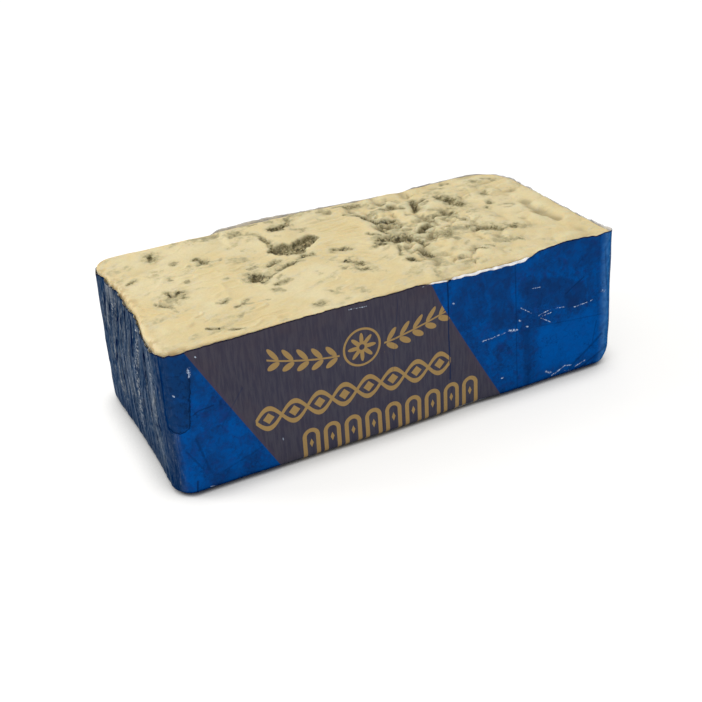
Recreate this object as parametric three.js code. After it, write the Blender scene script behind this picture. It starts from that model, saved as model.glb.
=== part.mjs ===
// Half a loaf of blue cheese, cut side up, in the lower half of its printed foil wrapper.
// Millimetres, +Z up. The origin is on the table, under the middle of the block.
// +X runs along the block to its right end, and the printed long side faces -Y.
// The left end is where the wrapper is gathered into upright pleats.

import * as THREE from "three";

// Driving sizes
const LENGTH = 215; // the wrapper at its rim, end to end, before its creases stand out
const WIDTH = 99.8; // the same, front to back
const HEIGHT = 67.5; // from the table to the cut face
const UPRIGHT_RADII = { frontLeft: 9, frontRight: 5.5, backRight: 20, backLeft: 9 };
const FOOT_RADIUS = 3; // the edge all round the base
const FOIL = 0.5; // the wrapper, thickened so that it is a solid
const CLEARANCE = 0.3; // between the wrapper and the cheese
const SKIN = FOIL + CLEARANCE;
// How far the rim of the cheese is rounded over, and where along x this grows
const WORN_RIM = { plain: 0.7, leftEnd: 2.2, from: -80, to: -100 };
const LEVEL_RIM = { from: -3, to: 6 }; // distances from the rim over which the relief of the cut face sets in

// Where the soft block has spread under its weight, or is pressed in: x, y, reach, shift of the base
const BASE_SPREAD = [
  [107, -42, 42, 2.7, 0],
  [-105, 40, 26, -1.2, 0.2],
  [-102, -47, 20, -0.8, -0.6],
  [0, -50, 110, 0, -1.1],
  [32, -50, 13, 0, 0.9],
];

// The upright corner at the front right bulges, and is rounded at its foot
const CORNER = { x: 107, y: -46, reach: 18, out: 0.9, foot: 4, footReach: 10, footHeight: 12 };

// The gathered end leans in towards its top: how far, middle and reach along y, heights from and to,
// and where along x it fades out
const TUCK = { depth: 2.6, y: 6, reach: 27, from: 42, to: 66, fadeFrom: -88, fadeTo: -106 };

const CHEESE_COLOUR = 0xe2d0a2;
const FOIL_COLOUR = 0x0b4a94;

// How finely the solids are faceted
const CUT_STEPS_X = 72; // across the cut face, between the worn edges
const CUT_STEPS_Y = 33;
const WORN_INSETS = [0, 0.9, 2.4]; // rows that follow the rounded rim of the cheese
const WALL_ROWS = 9; // rows of the wrapper from its rim to its foot
const WALL_CROWDING = 1.25; // over 1 brings the rows closer together near the rim
const OUTER_FOOT_STEPS = 3;
const INNER_FOOT_STEPS = 2;
const STATION_STEPS = { front: 4.8, right: 2.6, back: 4.8, left: 1.9, corner: 2.6 };
const LEAST_CORNER_STEPS = 5;

const degrees = Math.PI / 180;
const clamp01 = (v) => Math.min(1, Math.max(0, v));
const smooth = (v) => clamp01(v) ** 2 * (3 - 2 * clamp01(v));
const ramp = (from, to, v) => smooth((v - from) / (to - from));
const bump = (v, middle, reach) => Math.exp(-(((v - middle) / reach) ** 2));
const mix = (a, b, t) => a + (b - a) * t;

// A repeatable random value from 0 to 1 for each whole-number point
function latticeValue(ix, iy, seed) {
  let h = Math.imul(ix, 374761393) ^ Math.imul(iy, 668265263) ^ Math.imul(seed, 1442695041);
  h = Math.imul(h ^ (h >>> 13), 1274126177);
  return ((h ^ (h >>> 16)) >>> 0) / 4294967295;
}

// Smooth value noise from -1 to 1
function noise(x, y, seed) {
  const ix = Math.floor(x);
  const iy = Math.floor(y);
  const fx = smooth(x - ix);
  const fy = smooth(y - iy);
  const low = mix(latticeValue(ix, iy, seed), latticeValue(ix + 1, iy, seed), fx);
  const high = mix(latticeValue(ix, iy + 1, seed), latticeValue(ix + 1, iy + 1, seed), fx);
  return 2 * mix(low, high, fy) - 1;
}

// The cut face

// Mould pockets that opened when the loaf was cut: middle x and y, length, width, turn in degrees, depth
const POCKETS = [
  [-49, -6, 11, 5.5, 68, 2.2],
  [-34, -1, 30, 3.2, 27, 0.5],
  [-37, 5, 8, 3.6, 40, 0.6],
  [-85, -2, 8, 5, -45, 0.8],
  [-91, -9, 12, 6.5, -35, 0.5],
  [-83, 38, 9, 3.6, 65, 0.6],
  [-64, 22, 10, 4.5, 50, 0.8],
  [-76, -42, 13, 1.8, -34, 0.5],
  [-20, 36, 12, 4.2, 27, 1.2],
  [-13, 43, 11, 3.6, 78, 0.6],
  [-4, 2, 8, 3.4, -12, 0.5],
  [-6, -17, 15, 6, 80, 0.5],
  [21, 27, 14, 4.4, -72, 1.7],
  [28, 16, 13, 9, 5, 2],
  [16, 0, 8, 6, 0, 1.2],
  [26, -1, 11, 8.5, -20, 1.9],
  [38.5, 3, 11, 3.8, 35, 1.9],
  [49, 29, 17, 4.8, 58, 2.4],
  [40, 33, 10, 5, -48, 1.2],
  [58, 13, 9, 6.5, 60, 1.2],
  [66, 26, 17, 7, 62, 0.8],
  [63, -12, 9, 8, -30, 1.2],
  [77, -18, 8, 7, 0, 0.6],
  [26, -21, 12, 6, 66, 1.2],
  [16, -27, 6, 5, 0, 1],
  [36, -8, 12, 5, 35, 1.1],
  [94, -9, 28, 6.5, 90, 0.6],
];

// The largest pocket curls round a mound of cheese. Its strokes: from x and y, to x and y, half widths, depth
const CAVITY = [
  [-28.5, 16.5, -22, 14.5, 5.6, 5.6, 2.4],
  [-22, 14.5, -10, 21, 5.4, 3.2, 2.2],
  [-30, 20, -31.5, 31, 2.4, 1.2, 1],
];
const MOUND = { x: -20, y: 28, reach: 8, height: 1.3 };

// Slow waves of the whole face: height, size along x and y, seed
const WAVES = [
  [0.5, 36, 30, 1],
  [0.3, 13, 10, 2],
];

// Right of this line the cheese broke instead of being sliced. The slice curls up along it.
// Beyond it stand rounded lumps with creases between them.
const CURL = { height: 0.55, before: 2.5, reach: 3 };
const LUMPS = { height: 1.5, x: 10, y: 8, seed: 3 };
const CRUMBS = { height: 0.4, x: 4.5, y: 4, seed: 4 };
const RIGHT_RIDGE = { height: 0.7, from: 98, to: 104 };
const FRONT_DIP = { depth: 0.7, from: 17, to: 60, fade: 4, reach: 7 };

// The tear winds along y, and the broken part sets in over a short way past it.
const TEAR = { x: 18, swing: 2.2, swingSize: 8, wander: 2.5, wanderSize: 7, seed: 31, from: -1.5, to: 3 };

// The back edge stands high left of centre, with a step at one end, and is nicked right of centre.
const HIGH_BACK = { height: 2.1, stepFrom: -50, stepTo: -46, slopeFrom: -8, slopeTo: 22 };
const BACK_BUMPS = [
  { height: 0.8, x: -86, reach: 22 },
  { height: -0.9, x: 36, reach: 12 },
  { height: -2.4, x: 49.5, reach: 3.5 },
];
const BACK_RISE = { from: 26, to: 48 }; // where along y the cut face rises to its back edge

// Ragged edges of the pockets and the cavity, and how far in from them the full depth is reached
const RAGGED = { size: 2.5, pocket: 0.25, cavity: 0.2 };
const POCKET_WALL = { from: -0.1, to: 0.75 };
const CAVITY_WALL = { from: -0.05, to: 0.35 };

function tearLine(y) {
  const wander = TEAR.wander * noise(y / TEAR.wanderSize, 0, TEAR.seed);
  return TEAR.x + TEAR.swing * Math.sin(y / TEAR.swingSize) + wander;
}

// How far inside a pocket a point is: 1 at its middle, 0 at its ragged edge
function insidePocket([px, py, length, width, turn], x, y) {
  const c = Math.cos(turn * degrees);
  const s = Math.sin(turn * degrees);
  const along = ((x - px) * c + (y - py) * s) / (length / 2);
  const across = ((y - py) * c - (x - px) * s) / (width / 2);
  return 1 - Math.hypot(along, across) - RAGGED.pocket * noise(x / RAGGED.size, y / RAGGED.size, 41);
}

// How far inside a stroke of the cavity a point is: 1 on its middle line, 0 at its ragged edge
function insideStroke([ax, ay, bx, by, startHalf, endHalf], x, y) {
  const [off, t] = lineDistance(ax, ay, bx, by, x, y);
  return 1 - off / mix(startHalf, endHalf, t) - RAGGED.cavity * noise(x / RAGGED.size, y / RAGGED.size, 42);
}

// Distance of a point from a straight stretch, and how far along the stretch its nearest point is
function lineDistance(ax, ay, bx, by, x, y) {
  const run = (bx - ax) ** 2 + (by - ay) ** 2;
  const t = clamp01(((x - ax) * (bx - ax) + (y - ay) * (by - ay)) / run);
  return [Math.hypot(x - mix(ax, bx, t), y - mix(ay, by, t)), t];
}

// Height of the cut face over its nominal plane
function cutFace(x, y) {
  const past = x - tearLine(y);
  const broken = ramp(TEAR.from, TEAR.to, past);
  let h = CURL.height * bump(past, -CURL.before, CURL.reach);
  for (const [height, sizeX, sizeY, seed] of WAVES) h += height * noise(x / sizeX, y / sizeY, seed);
  h += broken * LUMPS.height * (Math.abs(noise(x / LUMPS.x, y / LUMPS.y, LUMPS.seed)) - 0.7);
  h += broken * CRUMBS.height * noise(x / CRUMBS.x, y / CRUMBS.y, CRUMBS.seed);
  h += MOUND.height * bump(Math.hypot(x - MOUND.x, y - MOUND.y), 0, MOUND.reach);
  for (const pocket of POCKETS) {
    h -= pocket.at(-1) * ramp(POCKET_WALL.from, POCKET_WALL.to, insidePocket(pocket, x, y));
  }
  const depths = CAVITY.map(
    (stroke) => stroke.at(-1) * ramp(CAVITY_WALL.from, CAVITY_WALL.to, insideStroke(stroke, x, y)),
  );
  h -= Math.max(...depths);
  h += RIGHT_RIDGE.height * ramp(RIGHT_RIDGE.from, RIGHT_RIDGE.to, x);
  const { depth, from, to, fade, reach } = FRONT_DIP;
  const dipped = ramp(from - fade, from + fade, x) * ramp(to + fade, to - fade, x);
  h -= depth * dipped * ramp(reach - WIDTH / 2, -WIDTH / 2, y);
  return h + ramp(BACK_RISE.from, BACK_RISE.to, y) * backSkyline(x);
}

function backSkyline(x) {
  const { height, stepFrom, stepTo, slopeFrom, slopeTo } = HIGH_BACK;
  let h = height * ramp(stepFrom, stepTo, x) * ramp(slopeTo, slopeFrom, x);
  for (const { height: rise, x: middle, reach } of BACK_BUMPS) h += rise * bump(x, middle, reach);
  return h;
}

// The upright outline of the block

// A rounded rectangle walked counter-clockwise from the left end of its front side.
// at(s) gives the point and the outward normal s millimetres along it.
function makeOutline() {
  const halfX = LENGTH / 2;
  const halfY = WIDTH / 2;
  // Each side with the direction it runs in and the corner at its end
  const corners = [
    { side: "front", turn: 0, cx: halfX, cy: -halfY, radius: UPRIGHT_RADII.frontRight },
    { side: "right", turn: 90, cx: halfX, cy: halfY, radius: UPRIGHT_RADII.backRight },
    { side: "back", turn: 180, cx: -halfX, cy: halfY, radius: UPRIGHT_RADII.backLeft },
    { side: "left", turn: 270, cx: -halfX, cy: -halfY, radius: UPRIGHT_RADII.frontLeft },
  ];
  const pieces = [];
  let start = 0;
  corners.forEach((corner, i) => {
    const before = corners[(i + 3) % 4];
    const full = i % 2 ? 2 * halfY : 2 * halfX;
    const straight = full - before.radius - corner.radius;
    const arc = (corner.radius * Math.PI) / 2;
    pieces.push({ ...corner, start, straight, arc });
    start += straight + arc;
  });
  const at = (s) => {
    const along = ((s % start) + start) % start;
    const piece = pieces.findLast((p) => along >= p.start - 1e-9);
    const onArc = Math.max(0, along - piece.start - piece.straight);
    const back = Math.max(0, piece.straight - (along - piece.start)) + piece.radius;
    const heading = piece.turn * degrees;
    const swing = onArc / piece.radius;
    const forward = new THREE.Vector2(Math.cos(heading), Math.sin(heading));
    const outward = new THREE.Vector2(Math.sin(heading), -Math.cos(heading));
    const normal = outward.clone().rotateAround(new THREE.Vector2(), swing);
    const point = new THREE.Vector2(piece.cx, piece.cy);
    if (onArc > 0) {
      point.addScaledVector(forward, -piece.radius).addScaledVector(outward, -piece.radius);
      point.addScaledVector(normal, piece.radius);
    } else {
      point.addScaledVector(forward, -back);
    }
    return { x: point.x, y: point.y, nx: normal.x, ny: normal.y, s: along };
  };
  // The distance along the outline of a place given by its side and its x or y
  const find = (side, where) => {
    const i = corners.findIndex((c) => c.side === side);
    const before = corners[(i + 3) % 4];
    const sign = i < 2 ? 1 : -1;
    const half = i % 2 ? halfY : halfX;
    return pieces[i].start + sign * where + half - before.radius;
  };
  return { at, find, pieces, total: start };
}

// The wrapper

// Heights of the wrapper's ragged rim: side, place along it, height
const RIM = [
  ["front", -92, 67.2], ["front", -40, 68], ["front", 6, 68], ["front", 18, 67.6], ["front", 34, 67.1],
  ["front", 55, 66.9], ["front", 61, 67.8], ["front", 68, 69.4], ["front", 80, 70.2],
  ["front", 90, 69.8], ["front", 97, 69], ["front", 101, 69.6],
  ["right", -44, 68], ["right", -36, 67.2], ["right", 0, 67], ["right", 34, 67],
  ["back", 90, 67.1], ["back", 60, 67], ["back", 50, 65], ["back", 38, 66.7], ["back", 22, 67.3],
  ["back", 4, 68.1], ["back", -30, 69.2], ["back", -45, 68.8], ["back", -52, 66.4], ["back", -84, 67],
  ["left", 40, 66], ["left", 31, 67], ["left", 27, 66], ["left", 16, 67], ["left", 2, 65.8],
  ["left", -10, 67.1], ["left", -20, 66.3], ["left", -28, 64.8],
];

// The lip of the rim that is bent outwards, on the front side
const LIP = { from: 12, to: 61, fade: 4, out: 1.7, drop: 2.4 };

// Pleats of the gathered ends: how many, how high they stand and how far they lean over the full height.
// They are pressed flat towards the base.
const PLEATS = {
  left: { count: 17, height: 1.4, lean: 5, seed: 61 },
  right: { count: 12, height: 1.3, lean: -4, seed: 62 },
};
const PRESSED = { share: 0.7, height: 26 };

// Soft swells of the foil all round: height, size, seed
const SWELLS = [
  [0.16, 24, 51],
  [0.1, 9, 52],
];

// The rounded end of the flap that is folded round the corner from the gathered end
const FLAP = { edge: -96, bottom: 29, height: 0.45, fade: 3 };

// Creases pressed into the printed side: from x and z, to x and z, height
const CREASE_REACH = 4.5;
const CREASES = [
  [19, 69, 21, 20, 0.8],
  [53, 68, 55, 33, 0.6],
  [60, 40, 59, 2, 0.8],
  [36, 31, 96, 37, 0.8],
  [-88, 8, -101, 24, 0.6],
];

const outline = makeOutline();

// The point that stands out from a place on the outline, at a height, moved as the soft block has moved
function standing(place, out, z) {
  const point = { x: place.x + out * place.nx, y: place.y + out * place.ny, z };
  for (const [x, y, reach, shiftX, shiftY] of BASE_SPREAD) {
    const share = bump(Math.hypot(place.x - x, place.y - y), 0, reach) * (1 - z / HEIGHT);
    point.x += shiftX * share;
    point.y += shiftY * share;
  }
  const off = Math.hypot(place.x - CORNER.x, place.y - CORNER.y);
  const rounded = bump(off, 0, CORNER.footReach) * ramp(CORNER.footHeight, 0, z) ** 2;
  point.x += CORNER.out * bump(off, 0, CORNER.reach) - CORNER.foot * rounded;
  const tucked = Math.exp(-(((place.y - TUCK.y) / TUCK.reach) ** 4)) * ramp(TUCK.from, TUCK.to, z);
  point.x += TUCK.depth * tucked * ramp(TUCK.fadeFrom, TUCK.fadeTo, place.x);
  return point;
}

function rimHeight(s) {
  const marks = RIM.map(([side, where, z]) => ({ s: outline.find(side, where), z }));
  const next = marks.findIndex((mark) => mark.s > s);
  const b = marks[next < 0 ? 0 : next];
  const a = marks[(next < 0 ? marks.length : next || marks.length) - 1];
  const gap = (b.s - a.s + outline.total) % outline.total;
  const part = ((s - a.s + outline.total) % outline.total) / gap;
  return mix(a.z, b.z, smooth(part));
}

// Each pleat rises slowly on one side and drops steeply on the other.
function pleatRelief(end, across, z) {
  let h = 0;
  const spacing = WIDTH / end.count;
  for (let i = 0; i < end.count; i++) {
    const draw = (row) => latticeValue(i, row, end.seed);
    const middle = -WIDTH / 2 + spacing * (i + 0.2 + 0.6 * draw(0));
    const lean = end.lean * (draw(1) - 0.2) * (z / HEIGHT - 0.5);
    const tall = end.height * (0.45 + 0.55 * draw(2)) * (0.75 + 0.25 * noise(z / 16, i, end.seed));
    const off = across - middle - lean;
    const reach = off < 0 ? spacing * (0.5 + 0.6 * draw(3)) : spacing * 0.28;
    h = Math.max(h, tall * smooth(1 - Math.abs(off) / reach));
  }
  return h;
}

// How far the wrapper stands out of its smooth form
function foilRelief(place, z) {
  const onEnd = ramp(0.5, 0.95, Math.abs(place.nx));
  const end = place.nx < 0 ? PLEATS.left : PLEATS.right;
  let h = onEnd * pleatRelief(end, place.y, z) * (1 - PRESSED.share * ramp(PRESSED.height, 0, z));
  for (const [height, size, seed] of SWELLS) h += height * (1 + noise(place.s / size, z / size, seed));
  if (place.ny < -0.5) {
    for (const [ax, az, bx, bz, height] of CREASES) {
      h += height * ramp(CREASE_REACH, 0, lineDistance(ax, az, bx, bz, place.x, z)[0]);
    }
    const beside = ramp(FLAP.edge, FLAP.edge - FLAP.fade, place.x);
    h += FLAP.height * beside * ramp(FLAP.bottom, FLAP.bottom + FLAP.fade, z);
    const bent = ramp(LIP.from, LIP.from + LIP.fade, place.x) * ramp(LIP.to, LIP.to - LIP.fade, place.x);
    h += LIP.out * bent * ramp(LIP.drop, 0, rimHeight(place.s) - z);
  }
  return h * ramp(0, FOOT_RADIUS, z);
}

// Meshes

// Collects rows of vertices and the faces between them.
class Shell {
  positions = [];
  faces = [];
  ring(points) {
    const first = this.positions.length / 3;
    for (const p of points) this.positions.push(p.x, p.y, p.z);
    return points.map((_, i) => first + i);
  }
  quad(a, b, c, d) {
    this.faces.push(a, b, c, a, c, d);
  }
  // Joins two closed rings, the second one below the first, so that the faces look out of the block.
  band(upper, lower, inward = false) {
    upper.forEach((a, i) => {
      const j = (i + 1) % upper.length;
      if (inward) this.quad(a, upper[j], lower[j], lower[i]);
      else this.quad(a, lower[i], lower[j], upper[j]);
    });
  }
  // Fills a level ring round the block's upright axis with a flat face.
  cap(ring, up) {
    const z = this.positions[3 * ring[0] + 2];
    const [middle] = this.ring([{ x: 0, y: 0, z }]);
    ring.forEach((a, i) => {
      const b = ring[(i + 1) % ring.length];
      this.faces.push(middle, up ? a : b, up ? b : a);
    });
  }
  mesh(name, colour, roughness, metalness) {
    const geometry = new THREE.BufferGeometry();
    geometry.setAttribute("position", new THREE.Float32BufferAttribute(this.positions, 3));
    geometry.setIndex(this.faces);
    geometry.computeVertexNormals();
    const finish = new THREE.MeshStandardMaterial({ color: colour, roughness, metalness });
    const mesh = new THREE.Mesh(geometry, finish);
    mesh.name = name;
    return mesh;
  }
}

// Grid lines from -half to half: the worn rows at both ends and even steps between
function gridLines(half, steps) {
  const inner = half - WORN_INSETS.at(-1);
  const even = Array.from({ length: steps - 1 }, (_, i) => mix(-inner, inner, (i + 1) / steps));
  return [...WORN_INSETS.map((v) => v - half), ...even, ...WORN_INSETS.map((v) => half - v).reverse()];
}

// Bends a point of the plain rectangle to the rounded one, and gives its distance from the rim.
function roundCorner(x, y, halfX, halfY) {
  const inset = Math.min(halfX - Math.abs(x), halfY - Math.abs(y));
  const name = (y < 0 ? "front" : "back") + (x < 0 ? "Left" : "Right");
  const radius = UPRIGHT_RADII[name] - SKIN;
  const r = radius - inset;
  const place = { x, y, inset, nx: 0, ny: 0 };
  const level = halfY - Math.abs(y) <= halfX - Math.abs(x);
  place[level ? "ny" : "nx"] = level ? Math.sign(y) : Math.sign(x);
  if (r <= 0) return place;
  const past = level ? Math.abs(x) - (halfX - radius) : Math.abs(y) - (halfY - radius);
  if (past <= 0) return place;
  const angle = level ? 90 - (45 * past) / r : (45 * past) / r;
  place.nx = Math.sign(x) * Math.cos(angle * degrees);
  place.ny = Math.sign(y) * Math.sin(angle * degrees);
  place.x = Math.sign(x) * (halfX - radius) + r * place.nx;
  place.y = Math.sign(y) * (halfY - radius) + r * place.ny;
  return place;
}

function cheeseMesh() {
  const shell = new Shell();
  const halfX = LENGTH / 2 - SKIN;
  const halfY = WIDTH / 2 - SKIN;
  const xs = gridLines(halfX, CUT_STEPS_X);
  const ys = gridLines(halfY, CUT_STEPS_Y);
  const places = ys.map((y) => xs.map((x) => roundCorner(x, y, halfX, halfY)));
  const rows = places.map((row) =>
    shell.ring(
      row.map((p) => {
        const worn = mix(WORN_RIM.plain, WORN_RIM.leftEnd, ramp(WORN_RIM.from, WORN_RIM.to, p.x));
        const drop = worn * (1 - Math.sqrt(1 - clamp01(1 - p.inset / worn) ** 2));
        const relief = cutFace(p.x, p.y) * ramp(LEVEL_RIM.from, LEVEL_RIM.to, p.inset);
        return standing(p, 0, HEIGHT + relief - drop);
      }),
    ),
  );
  for (let j = 0; j + 1 < ys.length; j++) {
    for (let i = 0; i + 1 < xs.length; i++) {
      shell.quad(rows[j][i], rows[j][i + 1], rows[j + 1][i + 1], rows[j + 1][i]);
    }
  }
  // The rim of the cut face, counter-clockwise, and the wall that hangs from it
  const last = { x: xs.length - 1, y: ys.length - 1 };
  const walk = [
    ...xs.slice(0, -1).map((_, i) => [0, i]),
    ...ys.slice(0, -1).map((_, j) => [j, last.x]),
    ...xs.slice(1).map((_, i) => [last.y, last.x - i]),
    ...ys.slice(1).map((_, j) => [last.y - j, 0]),
  ];
  let above = walk.map(([j, i]) => rows[j][i]);
  const radius = FOOT_RADIUS - SKIN;
  for (let k = 0; k <= INNER_FOOT_STEPS; k++) {
    const angle = (k / INNER_FOOT_STEPS) * 90 * degrees;
    const inset = radius * (1 - Math.cos(angle));
    const z = FOOT_RADIUS - radius * Math.sin(angle);
    const below = shell.ring(walk.map(([j, i]) => standing(places[j][i], -inset, z)));
    shell.band(above, below);
    above = below;
  }
  shell.cap(above, false);
  return shell.mesh("cheese", CHEESE_COLOUR, 0.55, 0);
}

// Places round the wrapper, closer together where it is pleated
function stations() {
  const list = [];
  for (const piece of outline.pieces) {
    const divide = (start, length, count) => {
      for (let i = 0; i < count; i++) list.push(outline.at(start + (length * i) / count));
    };
    const cornerSteps = Math.max(LEAST_CORNER_STEPS, Math.round(piece.arc / STATION_STEPS.corner));
    divide(piece.start, piece.straight, Math.round(piece.straight / STATION_STEPS[piece.side]));
    divide(piece.start + piece.straight, piece.arc, cornerSteps);
  }
  return list;
}

function foilMesh() {
  const shell = new Shell();
  const around = stations();
  // The outer face has the relief. The inner face is smooth.
  const innerOut = () => -FOIL;
  const wall = (part, outAt) =>
    shell.ring(
      around.map((p) => {
        const z = mix(rimHeight(p.s), FOOT_RADIUS, part);
        return standing(p, outAt(p, z), z);
      }),
    );
  const foot = (radius, angle, outAt) => {
    const z = FOOT_RADIUS - radius * Math.sin(angle);
    return shell.ring(around.map((p) => standing(p, outAt(p, z) - radius * (1 - Math.cos(angle)), z)));
  };
  const outer = [];
  for (let i = 0; i < WALL_ROWS; i++) outer.push(wall((i / WALL_ROWS) ** WALL_CROWDING, foilRelief));
  for (let k = 0; k <= OUTER_FOOT_STEPS; k++) {
    outer.push(foot(FOOT_RADIUS, (k / OUTER_FOOT_STEPS) * 90 * degrees, foilRelief));
  }
  const inner = [wall(0, innerOut)];
  for (let k = 0; k <= INNER_FOOT_STEPS; k++) {
    inner.push(foot(FOOT_RADIUS - FOIL, (k / INNER_FOOT_STEPS) * 90 * degrees, innerOut));
  }
  for (let k = 0; k + 1 < outer.length; k++) shell.band(outer[k], outer[k + 1]);
  for (let k = 0; k + 1 < inner.length; k++) shell.band(inner[k], inner[k + 1], true);
  shell.band(inner[0], outer[0]);
  shell.cap(outer.at(-1), false);
  shell.cap(inner.at(-1), true);
  return shell.mesh("foil_wrap", FOIL_COLOUR, 0.32, 0.6);
}

const block = new THREE.Group();
block.add(cheeseMesh(), foilMesh());

export default block;
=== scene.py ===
"""Half a loaf of blue cheese, cut side up, in the lower half of its printed foil wrapper.

The cheese and the wrapper are rebuilt here as fine meshes of the form that their plain solids have, with
procedural materials. Shapes are worked out in millimetres in the row frame, +X to the right end, -Y to the
printed side, and turned into metres when a mesh is made.
"""

import math

import bpy
import numpy as np
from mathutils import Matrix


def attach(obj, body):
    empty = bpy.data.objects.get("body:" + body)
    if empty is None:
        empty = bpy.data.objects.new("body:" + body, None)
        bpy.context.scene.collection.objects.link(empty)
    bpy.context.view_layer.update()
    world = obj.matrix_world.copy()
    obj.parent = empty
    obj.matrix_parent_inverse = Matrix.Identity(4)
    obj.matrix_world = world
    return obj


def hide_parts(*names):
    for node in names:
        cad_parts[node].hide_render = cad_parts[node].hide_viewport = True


MM = 0.001

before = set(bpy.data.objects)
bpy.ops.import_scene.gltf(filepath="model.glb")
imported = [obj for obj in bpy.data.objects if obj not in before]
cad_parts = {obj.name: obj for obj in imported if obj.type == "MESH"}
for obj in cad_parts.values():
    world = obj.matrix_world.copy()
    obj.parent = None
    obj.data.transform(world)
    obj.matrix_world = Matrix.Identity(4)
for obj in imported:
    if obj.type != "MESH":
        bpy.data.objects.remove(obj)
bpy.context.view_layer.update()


# The block, with the sizes of the plain solids

LENGTH = 215  # the wrapper at its rim
WIDTH = 99.8
HEIGHT = 67.5  # nominal height of the cut face
HALF_X = LENGTH / 2
HALF_Y = WIDTH / 2
UPRIGHT_RADII = {"front_left": 9, "front_right": 5.5, "back_right": 20, "back_left": 9}
FOOT_RADIUS = 3
SKIN = 0.35  # from the wrapper's outer face to the cheese as it is drawn here
# How far the rim of the cheese is rounded over, and where the left end's part of it fades in
WORN_RIM = {"plain": 0.7, "left_end": 2.2, "x": (-80, -100), "y": (50, 20)}
WALL_SWELL = {"height": 0.12, "along": 3, "up": 2.4, "seed": 131}  # of the cheese's walls near its rim

# Where the soft block has spread under its weight, or is pressed in: x, y, reach, shift of the base
BASE_SPREAD = [
    (107, -42, 42, 2.7, 0),
    (-105, 40, 26, -1.2, 0.2),
    (-102, -47, 20, -0.8, -0.6),
    (0, -50, 110, 0, -1.1),
    (32, -50, 13, 0, 0.9),
]
# The upright corner at the front right bulges, and is rounded at its foot
CORNER = {"x": 107, "y": -46, "reach": 18, "out": 0.9, "foot": 4, "foot_reach": 10, "foot_height": 12}

# The gathered end leans in towards its top: how far, middle and reach along y, heights from and to,
# and where along x it fades out
TUCK = {"depth": 2.6, "y": 6, "reach": 27, "from": 42, "to": 66, "fade_from": -88, "fade_to": -106}
SHEET = 0.15  # thickness of the wrapper as it is drawn here

# The darker, buttery rim of the cut face is wider and stronger at the left end
BUTTER_RIM = {"from": 0.2, "width": 2.6, "width_left": 6, "share": 0.4, "left_x": (-88, -102)}

# Fineness of the meshes
CHEESE_STEP = 0.52
CHEESE_RIM_INSETS = [0, 0.2, 0.5, 0.9, 1.4, 2.0]
CHEESE_WALL_DEPTHS = [0.8, 1.8, 3.2, 5, 8, 14]
# How far heights are averaged to find what stands out of or lies below its surroundings, in grid cells
BLUR_FINE, BLUR_NEAR, BLUR_FAR = 3, 5, 14
FOIL_STEPS = {"front": 0.85, "right": 1.0, "back": 1.5, "left": 0.55, "corner": 0.7}
FOIL_ROWS = 78
FOOT_ROWS = 9
FOOT_STEPS = 3  # of the cheese and of the lining
UNDERSIDE_RINGS = 10
ROW_CROWDING = 1.25  # over 1 brings the rows closer together near the rim
LINING_INSET = 0.45  # of the lining's foot from the outer face
UNDERSIDE_PRINT = 40  # how far down the print's heights run from the foot to the middle of the underside
LINING_ROWS = [0, 1, 2, 3, 4, 5, 6, 7, 9, 12, 16, 20]  # the rows of the outer face that the lining follows


# Small functions for shapes

def clamp01(v):
    return np.clip(v, 0.0, 1.0)


def smooth(v):
    """From 0 to 1 with level ends."""
    v = clamp01(v)
    return v * v * (3 - 2 * v)


def ramp(start, end, v):
    """0 at start, 1 at end, smooth between. The start may be the larger of the two."""
    return smooth((v - start) / (end - start))


def bump(v, middle, reach):
    """1 at the middle, fading out on both sides."""
    return np.exp(-(((v - middle) / reach) ** 2))


def mix(a, b, t):
    return a + (b - a) * t


def lattice_value(ix, iy, seed):
    """A repeatable random value from 0 to 1 for each whole-number point."""
    ix = np.asarray(ix, np.int64).astype(np.uint32)
    iy = np.asarray(iy, np.int64).astype(np.uint32)
    h = ix * np.uint32(374761393) ^ iy * np.uint32(668265263)
    h = h ^ np.uint32(seed * 1442695041 % 2**32)
    h = (h ^ (h >> np.uint32(13))) * np.uint32(1274126177)
    return (h ^ (h >> np.uint32(16))) / 4294967295.0


def noise(x, y, seed):
    """Smooth value noise from -1 to 1."""
    x, y = np.broadcast_arrays(np.asarray(x, float), np.asarray(y, float))
    ix, iy = np.floor(x), np.floor(y)
    fx, fy = smooth(x - ix), smooth(y - iy)
    low = mix(lattice_value(ix, iy, seed), lattice_value(ix + 1, iy, seed), fx)
    high = mix(lattice_value(ix, iy + 1, seed), lattice_value(ix + 1, iy + 1, seed), fx)
    return 2 * mix(low, high, fy) - 1


def crests(x, y, seed):
    """Noise folded into sharp crests, from 0 to 1."""
    return 1 - np.abs(noise(x, y, seed))


def layered(x, y, seed, octaves):
    """Several sizes of noise added up, from about -1 to 1."""
    total = sum(noise(x * 2**k, y * 2**k, seed + 7 * k) / 2**k for k in range(octaves))
    return total / (2 - 2 / 2**octaves)


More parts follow.
